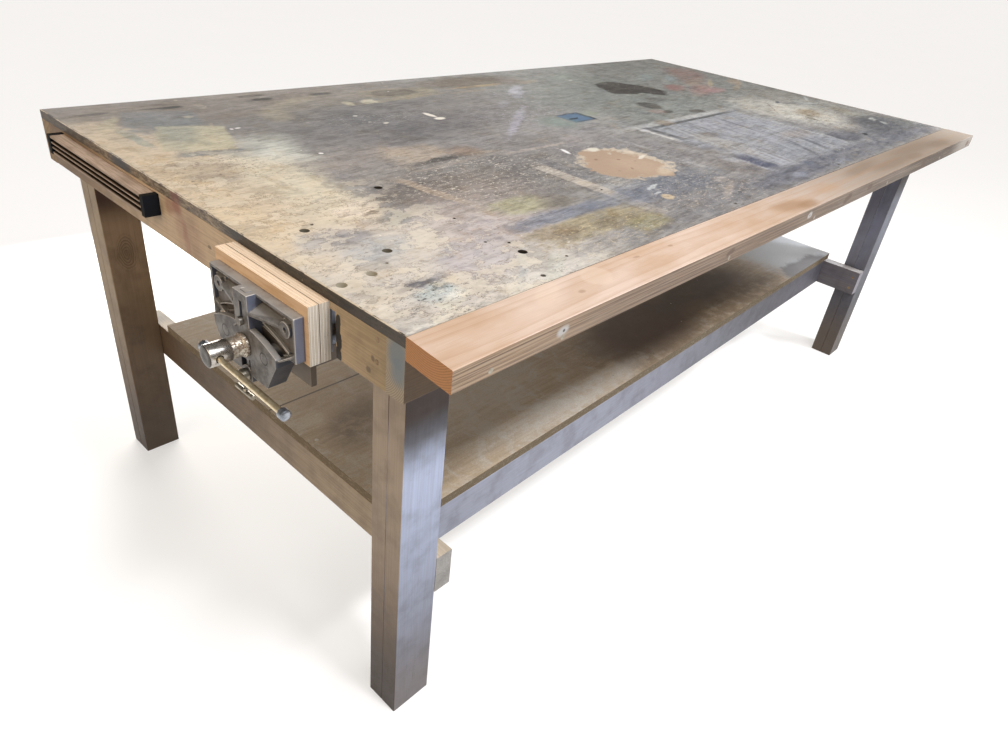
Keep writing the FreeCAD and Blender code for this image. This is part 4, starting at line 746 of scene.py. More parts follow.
def makePaintedTimber(name, along, pith, shades, floorShadeAndDirt, marks, brushing):
    # shades: front (-y), left (-x), top (+z) and other faces; lit and shaded colours of one paint, so partly
    # painted light and shade
    front, left, top, other = shades
    mat = Finish(name, roughness=0.55)
    rings = mat.rings(along, pith, 5.5)
    brush = mat.fibres(along, 3.2, 40)
    clouds = mat.noise(60, detail=4, rough=0.6)
    edge = mat.warped(12, 5, detail=4)
    mat.base = mat.mix(mat.facing("-y"), other, front)
    mat.lay(mat.facing("-x"), left)
    mat.lay(mat.facing("+z"), top)
    mat.lay(mat.levels(clouds, 0.4, 0.7, 0, 0.35), "8d8580", "MULTIPLY")
    mat.lay(mat.levels(brush, 0.3, 0.7, brushing, 0), "9d958c", "MULTIPLY")
    splits = mat.levels(mat.noise(2.2, detail=3, stretch=grainStretch[along]), 0.7, 0.74, 0, 0.55)
    mat.lay(splits, "4a3f35")
    mat.lay(mat.scaled(rings, 0.1), "8a7459")
    worn = mat.noise(14, detail=7, rough=0.75, where=edge)
    bare = mat.levels(worn, 0.66, 0.7)
    mat.lay(mat.scaled(bare, 0.55), "8e7a62")
    mat.lay(mat.scaled(mat.specks(60, 0.2, 0.07, stretch=(1, 1, 1.4)), 0.6), "4b3f34")
    if floorShadeAndDirt:
        # painted shade: the paint darkens towards the floor, where less light reaches
        mat.lay(mat.levels(mat.z, 640, 40, 0, 0.92), "9c938b", "MULTIPLY")
        dirt = mat.levels(mat.maths("MULTIPLY_ADD", worn, 160, mat.z), 340, 100, 0, 0.5)
        mat.lay(dirt, "776a5e")
        # darker still on the left faces near the floor
        lowLeftDarkening = mat.scaled(mat.levels(dirt, 0, 0.5), mat.facing("-x", 0.3, 0.6))
        mat.lay(mat.scaled(lowLeftDarkening, 0.7), "4a4036")
        scuffs = mat.levels(mat.noise(9, detail=5, rough=0.8), 0.6, 0.66)
        mat.lay(mat.scaled(scuffs, mat.scaled(dirt, 0.8)), "463a30")
    for mark in marks:
        mark(mat)
    height = mat.total((worn, 0.4), (brush, 0.6), (bare, -0.5), (rings, 0.15))
    rough = mat.maths("MULTIPLY_ADD", worn, 0.35, 0.36)
    return mat.done(rough, height, 0.45, 0.8)


def makeRawTimber(name, along, pith, light, dark):
    mat = Finish(name, roughness=0.6)
    rings = mat.rings(along, pith, 13, wander=16, drift=600)
    fibre = mat.fibres(along, 1.0, 70)
    clouds = mat.noise(120, detail=4, rough=0.6)
    mat.base = mat.mix(mat.levels(rings, 0.0, 1.0, 0.05, 0.8), light, dark)
    mat.lay(mat.levels(fibre, 0.35, 0.75, 0, 0.3), dark)
    mat.lay(mat.levels(clouds, 0.4, 0.7, 0, 0.35), "a99883", "MULTIPLY")
    height = mat.total((fibre, 0.5), (rings, 0.35))
    rough = mat.maths("MULTIPLY_ADD", fibre, 0.2, 0.5)
    return mat.done(rough, height, 0.3, 0.7)


def endGrain(light, dark, pith, spacing):
    # the sawn end of a board
    def mark(mat):
        rings = mat.rings("x", pith, spacing, wander=3)
        rays = mat.noise(2.0, detail=4, rough=0.7)
        face = mat.mix(mat.levels(rings, 0, 1, 0.1, 0.9), light, dark)
        face = mat.mix(mat.levels(rays, 0.45, 0.7, 0, 0.4), face, dark)
        mat.lay(mat.facing("-x"), face)
    return mark


def seam(level):
    # the joint between two boards that lie against each other along Y
    def mark(mat):
        wander = mat.noise(90, detail=2, stretch=(1, 1, 2))
        line = mat.near(mat.maths("MULTIPLY_ADD", wander, 1.6, mat.y), level + 0.8, 1.0, 0.4)
        mat.lay(mat.scaled(line, mat.facing("-x")), "2a231d")
    return mark


def shaded(axis, start, end, code, side=None, strength=1.0):
    # paint that darkens from start to end along an axis
    def mark(mat):
        share = mat.levels(getattr(mat, axis), start, end, 0, strength)
        if side:
            share = mat.scaled(share, mat.facing(side))
        mat.lay(share, code, "MULTIPLY")
    return mark


def knot(x, z, size, code):
    # rings round a knot on a board's front
    def mark(mat):
        parts = mat.split(mat.warped(30, 7, detail=3))
        across = mat.maths("SUBTRACT", parts[0], x)
        down = mat.scaled(mat.maths("SUBTRACT", parts[2], z), 0.55)
        squares = mat.maths("MULTIPLY_ADD", across, across, mat.scaled(down, down))
        reach = mat.maths("SQRT", squares)
        turn = mat.maths("POWER", mat.maths("FRACT", mat.maths("DIVIDE", reach, 4.5)), 1.5)
        share = mat.scaled(turn, mat.levels(reach, size, size * 0.5, 0, 0.7))
        share = mat.maths("MAXIMUM", share, mat.levels(reach, 5, 3, 0, 0.3))
        mat.lay(mat.scaled(share, mat.facing("-y")), code)
    return mark


def spots(places, code, side=None, edge=8, strength=1.0, plane="xy"):
    # soft marks; places are centre, half sizes, angle and softness
    def mark(mat):
        where = mat.warped(edge * 2.5, edge * 0.6, detail=3)
        if plane != "xy":
            parts = mat.split(where)
            order = {"xz": (0, 2, 1), "yz": (1, 2, 0)}[plane]
            inputs = {i: parts[k] for i, k in enumerate(order)}
            where = mat.add("ShaderNodeCombineXYZ", inputs).outputs[0]
        for x, y, halfX, halfY, angle, soft in places:
            mask = mat.patch(x, y, halfX, halfY, angle, 0.8, soft, where)
            if side:
                mask = mat.scaled(mask, mat.facing(side))
            mat.lay(mat.scaled(mask, strength), code)
    return mark


def makePlankFinish():
    mat = Finish("freshPine", roughness=0.5)
    rings = mat.rings("x", (-118, 700), 6.2, wander=9, drift=900)
    grain = mat.noise(2.6, detail=4, rough=0.65, stretch=(70, 1, 1), warp=0.3)
    broad = mat.rings("x", (-52, 842), 7.5, wander=9, drift=700)
    fibre = mat.fibres("x", 0.8, 90)
    clouds = mat.noise(200, detail=4, rough=0.6, stretch=(2, 1, 1))
    far = mat.levels(mat.x, 600, 1700)
    top = mat.mix(mat.levels(clouds, 0.35, 0.65), "cbb6a6", "b5977c")
    top = mat.mix(mat.scaled(far, 0.9), top, "7f766b")
    top = mat.mix(mat.levels(broad, 0.1, 1, 0, 0.3), top, "a07c5b")
    top = mat.mix(mat.levels(mat.x, 2150, 2440, 0, 0.7), top, "8f877c")
    near = mat.levels(mat.x, 420, 60)
    # painted shade: the front face takes darker colours than the top
    side = mat.mix(mat.levels(rings, 0.1, 0.9), "8b7664", "5f4e3e")
    side = mat.mix(near, side, mat.mix(mat.levels(rings, 0.1, 0.9), "b49c83", "8a7058"))
    side = mat.mix(mat.scaled(far, 0.75), side, "686059")
    side = mat.mix(mat.levels(mat.x, 1650, 1850, 0, 0.9), side, "453c34")
    side = mat.mix(mat.levels(mat.x, 2150, 2330, 0, 0.85), side, "9a958d")
    side = mat.mix(mat.levels(grain, 0.5, 0.62, 0, 0.6), side, "4d3e31")
    side = mat.mix(mat.levels(grain, 0.48, 0.36, 0, 0.4), side, "ab9c8a")
    mat.base = mat.mix(mat.facing("+z"), side, top)
    mat.lay(mat.levels(fibre, 0.4, 0.75, 0, 0.3), "9d7c5c")
    for mark in plankMarks:
        mark(mat)
    height = mat.total((fibre, 0.4), (rings, 0.35))
    rough = mat.maths("MULTIPLY_ADD", fibre, 0.2, 0.42)
    return mat.done(rough, height, 0.3, 0.7)


plankMarks = (
    spots([
        (330, -40, 90, 26, 20, 0.4), (480, -60, 60, 22, 0, 0.5), (1040, -60, 90, 26, 0, 0.4),
        (760, -30, 60, 14, 0, 0.6), (1250, -50, 60, 22, 0, 0.5),
    ], "a5825f", "+z", 16, 0.35),
    spots([(365, -30, 32, 26, 35, 0.15), (250, -25, 40, 16, 30, 0.3)], "cfb9a4", "+z", 3, 0.4),
    spots([
        (1540, -30, 120, 18, 4, 0.5), (1700, -62, 140, 20, 0, 0.5), (1950, -35, 160, 26, 0, 0.5),
        (1870, -70, 60, 14, 0, 0.4), (2150, -60, 90, 20, 0, 0.5),
    ], "75614e", "+z", 10, 0.5),
    spots([(1040, -62, 62, 24, -12, 0.5), (1090, -76, 40, 14, 0, 0.5)], "8a6a4c", "+z", 14, 0.5),
    spots([
        (487, -24, 8, 3, 0, 0.4), (586, -30, 6, 3, 0, 0.4), (300, -52, 7, 4, 0, 0.4),
    ], "8d6f58", "+z", 3, 0.5),
    spots([(206, 883, 12, 7.5, 10, 0.4), (1064, 884, 11, 7, 0, 0.4)], "c9c7c4", "-y", 5, 0.8, "xz"),
    spots([(208, 883, 2.6, 2.4, 0, 0.4), (1064, 884, 2.2, 2.2, 0, 0.4)], "2b2622", "-y", 1, 0.9, "xz"),
    spots([
        (700, 884, 16, 6, 10, 0.3), (1290, 882, 24, 9, 15, 0.3), (1440, 886, 18, 8, 0, 0.3),
        (1900, 884, 26, 9, 20, 0.3), (2390, 880, 16, 9, 0, 0.3),
    ], "5a4434", "-y", 6, 0.75, "xz"),
    endGrain("c98f5a", "9a6636", (-40, 960), spacing=3.4),
)


def makeBandFinish():
    mat = Finish("blackEdging", roughness=0.5)
    wear = mat.noise(7, detail=8, rough=0.78, stretch=(1, 4, 1))
    along = mat.noise(120, detail=4, stretch=(1, 2, 1))
    mat.base = mat.mix(mat.levels(wear, 0.42, 0.6), "231d17", "443b31")
    # dark and almost whole by the vise, rubbed down to tan beyond it
    far = mat.levels(mat.maths("MULTIPLY_ADD", along, 160, mat.y), 480, 560)
    tan = mat.mix(mat.levels(wear, 0.46, 0.58), "6e5d4b", "a89880")
    tan = mat.mix(mat.levels(wear, 0.44, 0.4), tan, "2a241f")
    far = mat.scaled(far, mat.levels(mat.y, 1020, 900, 0.25, 1))
    mat.lay(mat.scaled(far, 0.9), tan)
    mat.lay(mat.near(mat.y, 826, 60, 24, 0.8), "39424e")
    corner = mat.scaled(mat.levels(mat.y, 190, 20), mat.levels(wear, 0.4, 0.56, 0.3, 0.9))
    mat.lay(corner, "4c443a")
    mat.lay(mat.near(mat.y, 612, 26, 6, 0.6), "855048")
    chips = mat.levels(mat.noise(5, detail=6, rough=0.8, stretch=(1, 2.5, 1)), 0.62, 0.66, 0, 0.7)
    mat.lay(chips, "8b7b66")
    worn = mat.scaled(mat.levels(mat.z, 898.8, 900), mat.levels(wear, 0.44, 0.58, 0.1, 0.7))
    mat.lay(worn, "6f675d")
    rim = mat.scaled(mat.levels(mat.z, 899, 899.7), mat.levels(mat.x, -1.2, 0))
    mat.lay(mat.scaled(rim, mat.levels(wear, 0.44, 0.5)), "b9a88e")
    rough = mat.maths("MULTIPLY_ADD", wear, 0.4, 0.3)
    return mat.done(rough, mat.maths("ADD", wear, chips), 0.5, 0.9)


dripMarks = (
    (606, 850, 20, 40, 0.3), (612, 876, 15, 12, 0.6), (588, 818, 9, 34, 0.3), (640, 868, 16, 16, 0.45),
    (560, 830, 30, 40, 0.2),
)


def drip(mat):
    # a run of red paint down the apron
    where = mat.warped(20, 6, detail=3)
    parts = mat.split(where)
    flat = mat.add("ShaderNodeCombineXYZ", {0: parts[1], 1: parts[2]}).outputs[0]
    for y, z, halfY, halfZ, strength in dripMarks:
        mask = mat.patch(y, z, halfY, halfZ, -8, 0.8, 0.5, flat)
        mat.lay(mat.scaled(mask, strength), "8d4c42")


def makeBirchFinish():
    mat = Finish("birchPlywood", roughness=0.55)
    # veneers lie across X, counted from each board's own face
    layer = mat.maths("DIVIDE", mat.maths("ADD", mat.x, 54.3), 2.586)
    turn = mat.maths("FRACT", layer)
    odd = mat.maths("MODULO", mat.maths("FLOOR", layer), 2)
    fibre = mat.noise(0.9, detail=3, stretch=(1, 40, 40))
    light = mat.mix(mat.levels(fibre, 0.3, 0.7), "ecd7bd", "e0c4a4")
    cross = mat.mix(mat.levels(fibre, 0.3, 0.7), "e4cbac", "d6b694")
    plies = mat.mix(odd, light, cross)
    sawn = mat.mix(odd, "e3dccf", "d2c7b5")
    plies = mat.mix(mat.facing("-y"), plies, sawn)
    plies = mat.mix(mat.facing("-z"), plies, sawn)
    broken = mat.levels(mat.noise(9, detail=5, rough=0.7, stretch=(0.3, 3, 3)), 0.38, 0.56, 0.35, 1.0)
    glue = mat.scaled(mat.levels(turn, 0.7, 0.9), broken)
    glueShare = mat.scaled(glue, mat.levels(mat.facing("+z"), 0, 1, 0.6, 0.3))
    plies = mat.mix(glueShare, plies, "5f452e")
    # where the two boards of a liner meet, and where it lies on the iron
    plies = mat.mix(mat.near(mat.x, -18.15, 1.1, 0.5, 0.9), plies, "2b2019")
    gaps = mat.levels(mat.noise(4, detail=3, stretch=(0.35, 1, 1)), 0.66, 0.7, 0, 0.8)
    plies = mat.mix(mat.scaled(gaps, odd), plies, "33261c")
    veneer = mat.noise(7, detail=4, stretch=(1, 14, 1), warp=0.4)
    face = mat.mix(mat.levels(veneer, 0.35, 0.7), "e8c39c", "d2a87c")
    mat.base = mat.mix(mat.facing("|x"), plies, face)
    shade = mat.noise(80, detail=3, stretch=(1, 2, 2))
    mat.lay(mat.levels(shade, 0.4, 0.7, 0, 0.15), "b99f83")
    height = mat.total((fibre, 0.4), (glue, -0.7))
    return mat.done(mat.maths("MULTIPLY_ADD", fibre, 0.25, 0.42), height, 0.25, 0.8)


def makeShelfFinish():
    mat = Finish("dustyShelf", roughness=0.8)
    flakes = mat.noise(34, detail=8, rough=0.7)
    edges = {
        "ragged": (mat.warped(30, 14, detail=7), mat.maths("MULTIPLY_ADD", flakes, 0.9, -0.45)),
        "soft": (mat.warped(110, 40, detail=5), mat.maths("MULTIPLY_ADD", flakes, 0.5, -0.25)),
    }
    grain = mat.noise(9, detail=5, rough=0.65, stretch=(16, 1, 1), warp=0.5)
    dust = mat.noise(60, detail=6, rough=0.7, warp=0.7)
    mat.base = mat.mix(mat.levels(grain, 0.3, 0.7), "a8977f", "8f7d63")
    mat.lay(mat.levels(dust, 0.42, 0.68, 0, 0.75), "b0aba1")
    mat.paint(shelfPatches, edges, mat.levels(flakes, 0.34, 0.6, 0.4, 1.0))
    mat.lay(mat.near(mat.y, boxOf("shelf_panel_back")[0].y, 3.2, 1.4, 0.85), "2f251b")
    fine = mat.noise(3.5, detail=5, rough=0.75)
    mat.lay(mat.levels(fine, 0.35, 0.65, 0.25, 0), "77695a", "MULTIPLY")
    mat.lay(mat.scaled(mat.specks(46, 0.16, 0.1), 0.7), "4a3e30")
    mat.lay(mat.scaled(mat.specks(26, 0.14, 0.1), 0.5), "b9b4aa")
    ply = mat.maths("FRACT", mat.maths("DIVIDE", mat.z, 3.5))
    splinter = mat.noise(5, detail=5, rough=0.8, stretch=(3, 3, 1))
    edge = mat.mix(mat.levels(ply, 0.45, 0.6), "85765f", "55452f")
    edge = mat.mix(mat.levels(splinter, 0.5, 0.68, 0, 0.6), edge, "a89c88")
    mat.base = mat.mix(mat.facing("|z"), edge, mat.base)
    height = mat.total((fine, 0.6), (grain, 0.5), (splinter, 0.4))
    rough = mat.maths("MULTIPLY_ADD", dust, 0.3, 0.62)
    return mat.done(rough, height, 0.6, 0.8)


shelfPatches = [
    # stains towards the front in the middle, darkened also as painted shade under the plank
    (1350, 230, 520, 190, 0, 0.8, 0.5, 0.88, "66553f", "soft"),
    (1180, 300, 230, 120, 0, 1, 0.4, 0.92, "473527", "soft"),
    (1060, 230, 120, 50, 20, 1, 0.5, 0.7, "4d3c2a", "soft"),
    (1560, 330, 260, 90, 0, 1, 0.5, 0.92, "3f3327", "soft"),
    (1750, 200, 160, 60, 0, 1, 0.5, 0.7, "5a4c3c", "soft"),
    (640, 520, 380, 160, 0, 1, 0.6, 0.6, "7f6c52", "soft"),
    (300, 300, 160, 120, 0, 1, 0.5, 0.4, "9a8a73"),
    # painted light: the pale areas towards the front on the left
    (700, 190, 260, 40, 0, 0.8, 0.5, 0.6, "b5b1a9"),
    (520, 330, 200, 90, 10, 1, 0.5, 0.5, "aaa59b"),
    # painted light: a pale pool at the right end
    (2160, 330, 210, 260, 0, 0.6, 0.35, 0.93, "acb1b5", "soft"),
    # painted shadow across the front of that pool
    (2105, 145, 178, 86, -5, 0.4, 0.15, 0.95, "636160", "soft"),
    (260, 800, 120, 160, 0, 1, 0.6, 0.5, "9c8a71"),
    (230, 560, 60, 90, 0, 1, 0.6, 0.5, "8a785f"),
    (255, 430, 90, 60, 30, 1, 0.5, 0.8, "5b4a36"),
    (180, 500, 30, 26, 0, 1, 0.5, 0.8, "aba08d"),
    (330, 470, 60, 40, 10, 1, 0.5, 0.6, "7b6a52"),
]


def makeTrackFinish():
    mat = Finish("slottedRail", roughness=0.55)
    fibre = mat.noise(3, detail=6, rough=0.7, stretch=(1, 24, 1))
    mat.base = mat.mix(mat.levels(fibre, 0.4, 0.62), "b39c87", "8f7965")
    clouds = mat.noise(40, detail=5)
    mat.lay(mat.levels(clouds, 0.45, 0.65, 0, 0.5), "85705c")
    # painted shade inside the slot
    hollowShade = mat.levels(mat.x, -27.2, -24.5)
    sides = mat.levels(mat.nz, 0.7, 0.5)
    inside = mat.maths("MAXIMUM", sides, mat.levels(mat.z, 874.5, 873.5))
    mat.lay(mat.scaled(hollowShade, inside), "241710")
    lip = mat.near(mat.x, -31.5, 1.1, 0.5)
    mat.lay(mat.scaled(lip, mat.facing("+z")), "3a2a1f")
    return mat.done(mat.maths("MULTIPLY_ADD", fibre, 0.3, 0.4), fibre, 0.25, 0.7)


def makeCapFinish():
    mat = Finish("capPlastic", roughness=0.42)
    mat.inputs["Specular IOR Level"].default_value = 0.1
    scuff = mat.noise(6, detail=6, rough=0.75)
    mat.base = mat.mix(mat.levels(scuff, 0.45, 0.7, 0, 0.5), "060504", "12100e")
    # painted sheen: the -y face is made a little lighter and bluer
    mat.lay(mat.levels(mat.facing("-y"), 0, 1, 0, 0.7), "191c22")
    top = mat.scaled(mat.facing("+z"), mat.levels(scuff, 0.4, 0.55, 0, 0.35))
    mat.lay(top, "37332f")
    return mat.done(mat.maths("MULTIPLY_ADD", scuff, 0.3, 0.5), scuff, 0.15, 0.6)


def makeCastFinish(name, worn):
    mat = Finish(name, roughness=0.5, metal=0.35)
    sand = mat.noise(1.4, detail=4, rough=0.7)
    clouds = mat.noise(26, detail=5, rough=0.65)
    mat.base = mat.mix(mat.levels(clouds, 0.35, 0.65), "8a8784", "5c5855")
    mat.lay(mat.levels(sand, 0.3, 0.7, 0.25, 0), "6f6a64", "MULTIPLY")
    # painted shade in the hollows
    hollowShade = mat.levels(mat.x, -53, -44)
    mat.lay(mat.scaled(hollowShade, 0.6), "5a4a3a")
    rusty = mat.levels(mat.noise(16, detail=6, rough=0.75), 0.58, 0.68, 0, 0.5)
    mat.lay(rusty, "6d4f38")
    # painted light: the -y faces take a cool lit colour, the tops a lighter one
    coolLitFront = mat.scaled(mat.facing("-y", 0.8, 0.95), 0.75)
    mat.lay(coolLitFront, "6b7389" if worn else "a7b4cb")
    litTop = mat.scaled(mat.facing("+z", 0.8, 0.95), mat.levels(clouds, 0.3, 0.6, 0.4, 0.9))
    mat.lay(litTop, "a29c94")
    if worn:
        # painted shade in the creases, and painted highlight along the edges, which are worn there too
        bend = mat.add("ShaderNodeNewGeometry").outputs["Pointiness"]
        mat.lay(mat.levels(bend, 0.49, 0.44, 0, 0.8), "2b211a")
        edge = mat.levels(bend, 0.515, 0.56)
        mat.lay(mat.scaled(edge, mat.levels(clouds, 0.3, 0.55, 0.4, 0.95)), "d3ccc2")
        # painted shade on the lower front faces, below the rim
        lowFrontShade = mat.scaled(mat.facing("-y", 0.3, 0.6), mat.levels(mat.z, 792, 786))
        mat.lay(mat.scaled(lowFrontShade, 0.8), "2a2b31")
        # dark rings round the guide rods' ends
        for out in (-rodOut, rodOut):
            ring = mat.near(mat.reach(screwAxis[0] + out, screwAxis[1]), 9.6, 1.3, 0.5)
            mat.lay(mat.scaled(ring, mat.facing("-x")), "2b221b")
    else:
        # painted shade: the lower part of the body is darker
        low = mat.levels(mat.z, 770, 758)
        mat.lay(mat.scaled(low, 0.9), "6b5c49")
    rough = mat.maths("MULTIPLY_ADD", clouds, 0.3, 0.34)
    return mat.done(rough, sand, 0.25, 0.7)


def makeSteelFinish(name, light, dark, rust, rustShare, roughness, end=None):
    mat = Finish(name, roughness=roughness, metal=1.0)
    turned = mat.noise(1.0, detail=3, rough=0.6)
    clouds = mat.noise(12, detail=5, rough=0.7)
    mat.base = mat.mix(mat.levels(clouds, 0.35, 0.7), light, dark)
    stain = mat.levels(mat.noise(5, detail=6, rough=0.75), 0.78 - rustShare, 0.84 - rustShare)
    mat.lay(mat.scaled(stain, 0.85), rust)
    # painted shade on the ends that face -x
    if end:
        mat.lay(mat.scaled(mat.facing("-x", 0.5, 0.9), 0.9), end)
    feed(mat.tree, mat.inputs["Metallic"], mat.maths("MULTIPLY_ADD", stain, -0.75, 1.0))
    rough = mat.maths("MULTIPLY_ADD", turned, 0.15, roughness - 0.05)
    rough = mat.maths("MULTIPLY_ADD", stain, 0.4, rough)
    height = mat.total((turned, 0.35), (stain, 0.6))
    return mat.done(rough, height, 0.15, 0.6)


def makeFloorFinish():
    mat = Finish("paleFloor", roughness=0.9)
    values = lightSettings["floor"]
    soft = mat.noise(900, detail=2)
    mat.base = mat.mix(mat.levels(soft, 0.3, 0.7, 0, 0.08), values["colour"], "a8a6a2")
    mat.inputs["Emission Color"].default_value = (1, 1, 1, 1)
    mat.inputs["Emission Strength"].default_value = values["glow"]
    return mat.done()


def dress(material, *names):
    # gives a material to CAD pieces that keep their own shape
    for name in names:
        piece = cadNodes[name]
        piece.data.materials.clear()
        piece.data.materials.append(material)


def makeStage():
    reach = lightSettings["floor"]["reach"]
    corners = [(-reach, -reach, 0), (reach, -reach, 0), (reach, reach, 0), (-reach, reach, 0)]
    mesh = bpy.data.meshes.new("floor")
    mesh.from_pydata(corners, [], [(0, 1, 2, 3)])
    mesh.materials.append(makeFloorFinish())
    floor = addObject("floor", mesh)
    # a pale floor that sends no light up under the table
    floor.visible_diffuse = False


def newPiece(name, shape, material, node, smooth=True):
    # shape is a bmesh in table millimetres; the piece takes the place and body of the CAD node, which it
    # hides
    for corner in shape.verts:
        corner.co = place(*corner.co)
    mesh = bpy.data.meshes.new(name)
    bmesh.ops.recalc_face_normals(shape, faces=shape.faces)
    shape.to_mesh(mesh)
    shape.free()
    piece = addObject(name, mesh)
    mesh.materials.append(material)
    if smooth:
        mesh.shade_smooth()
    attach(piece, bodyOf[node])
    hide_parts(node)
    return piece


def keepCrisp(piece, degrees):
    edges = piece.modifiers.new("crisp", "EDGE_SPLIT")
    edges.split_angle = math.radians(degrees)


def addHull(shape, points):
    corners = [shape.verts.new(p) for p in points]
    bmesh.ops.convex_hull(shape, input=corners)


def addBox(shape, low, high):
    (x0, y0, z0), (x1, y1, z1) = low, high
    addHull(shape, [(x, y, z) for x in (x0, x1) for y in (y0, y1) for z in (z0, z1)])


def addPrism(shape, outline, x0, x1):
    # outline holds (y, z) points in order round the shape
    front = [shape.verts.new((x0, y, z)) for y, z in outline]
    back = [shape.verts.new((x1, y, z)) for y, z in outline]
    shape.faces.new(front)
    shape.faces.new(back[::-1])
    joinRings(shape, front, back, -1)


def addRing(shape, centre, side, up, radius, steps):
    turns = [2 * math.pi * i / steps for i in range(steps)]
    return [shape.verts.new(centre + (side * math.cos(t) + up * math.sin(t)) * radius) for t in turns]


def joinRings(shape, first, second, way=1):
    count = len(first)
    for i in range(count):
        j = (i + 1) % count
        shape.faces.new((first[i], first[j], second[j], second[i])[::way])


def addRings(shape, rings, closed=True):
    for first, second in zip(rings, rings[1:]):
        joinRings(shape, first, second)
    if closed:
        shape.faces.new(rings[0][::-1])
        shape.faces.new(rings[-1])
    return rings


def addLathe(shape, profile, centre, steps=64, closed=True):
    # profile holds (x, radius); the axis runs along X through centre (y, z)
    axes = Vector((0, 1, 0)), Vector((0, 0, 1))
    rings = [addRing(shape, Vector((x, *centre)), *axes, radius, steps) for x, radius in profile]
    return addRings(shape, rings, closed)


def addTube(shape, centre, inner, outer, x0, x1, steps=48):
    rings = addLathe(shape, [(x0, inner), (x0, outer), (x1, outer), (x1, inner)], centre, steps, closed=False)
    joinRings(shape, rings[3], rings[0])


def arcPoints(centre, radius, fromY, toY, count):
    # points on the upper side of a circle in the YZ plane
    levels = [fromY + (toY - fromY) * i / count for i in range(count + 1)]
    return [(y, centre[1] + math.sqrt(max(radius ** 2 - (y - centre[0]) ** 2, 0))) for y in levels]


def applyModifiers(piece):
    bpy.context.view_layer.update()
    result = bpy.data.meshes.new_from_object(piece.evaluated_get(bpy.context.evaluated_depsgraph_get()))
    piece.modifiers.clear()
    result.materials.clear()
    result.materials.append(piece.data.materials[0])
    piece.data = result


def soften(piece, voxel, rounds):
    # turns overlapping solids into one casting with soft inner corners
    remesh = piece.modifiers.new("cast", "REMESH")
    remesh.mode = "VOXEL"
    remesh.voxel_size = voxel * millimetre
    relax = piece.modifiers.new("relax", "SMOOTH")
    relax.iterations = rounds
    relax.factor = 0.5
    applyModifiers(piece)
    piece.data.shade_smooth()


def easeEdges(names, width, segments=2):
    # breaks the sharp edges of CAD pieces that keep their own shape
    for name in names:
        bevel = cadNodes[name].modifiers.new("arris", "BEVEL")
        bevel.width = width * millimetre
        bevel.segments = segments
        bevel.limit_method = "ANGLE"
        bevel.angle_limit = math.radians(50)


record = frame["record"]
bodyOf = {node: body for body, nodes in record["behaviour"]["bodies"].items() for node in nodes}

# x runs into the jaw from its outer face; out is a distance to either side of the screw
jawShape = {
    "front": -68.8, "face": -53.3, "floor": -43.3, "back": -36.3,
    "half": 115, "top": 864, "low": 790, "rim": 5,
    "bossOut": 91, "bossLevel": 837, "bossRadius": 13, "holeRadius": 4.2,
    "archCentre": 617.8, "archRadius": 193, "ridgeCentre": 620.4, "ridgeRadius": 203, "ridgeWide": 1.2,
    "skirtWall": 10, "skirtFoot": 725, "dogHalf": 19, "dogFront": 6.2,
    "voxel": 0.9, "rounds": 3,
}


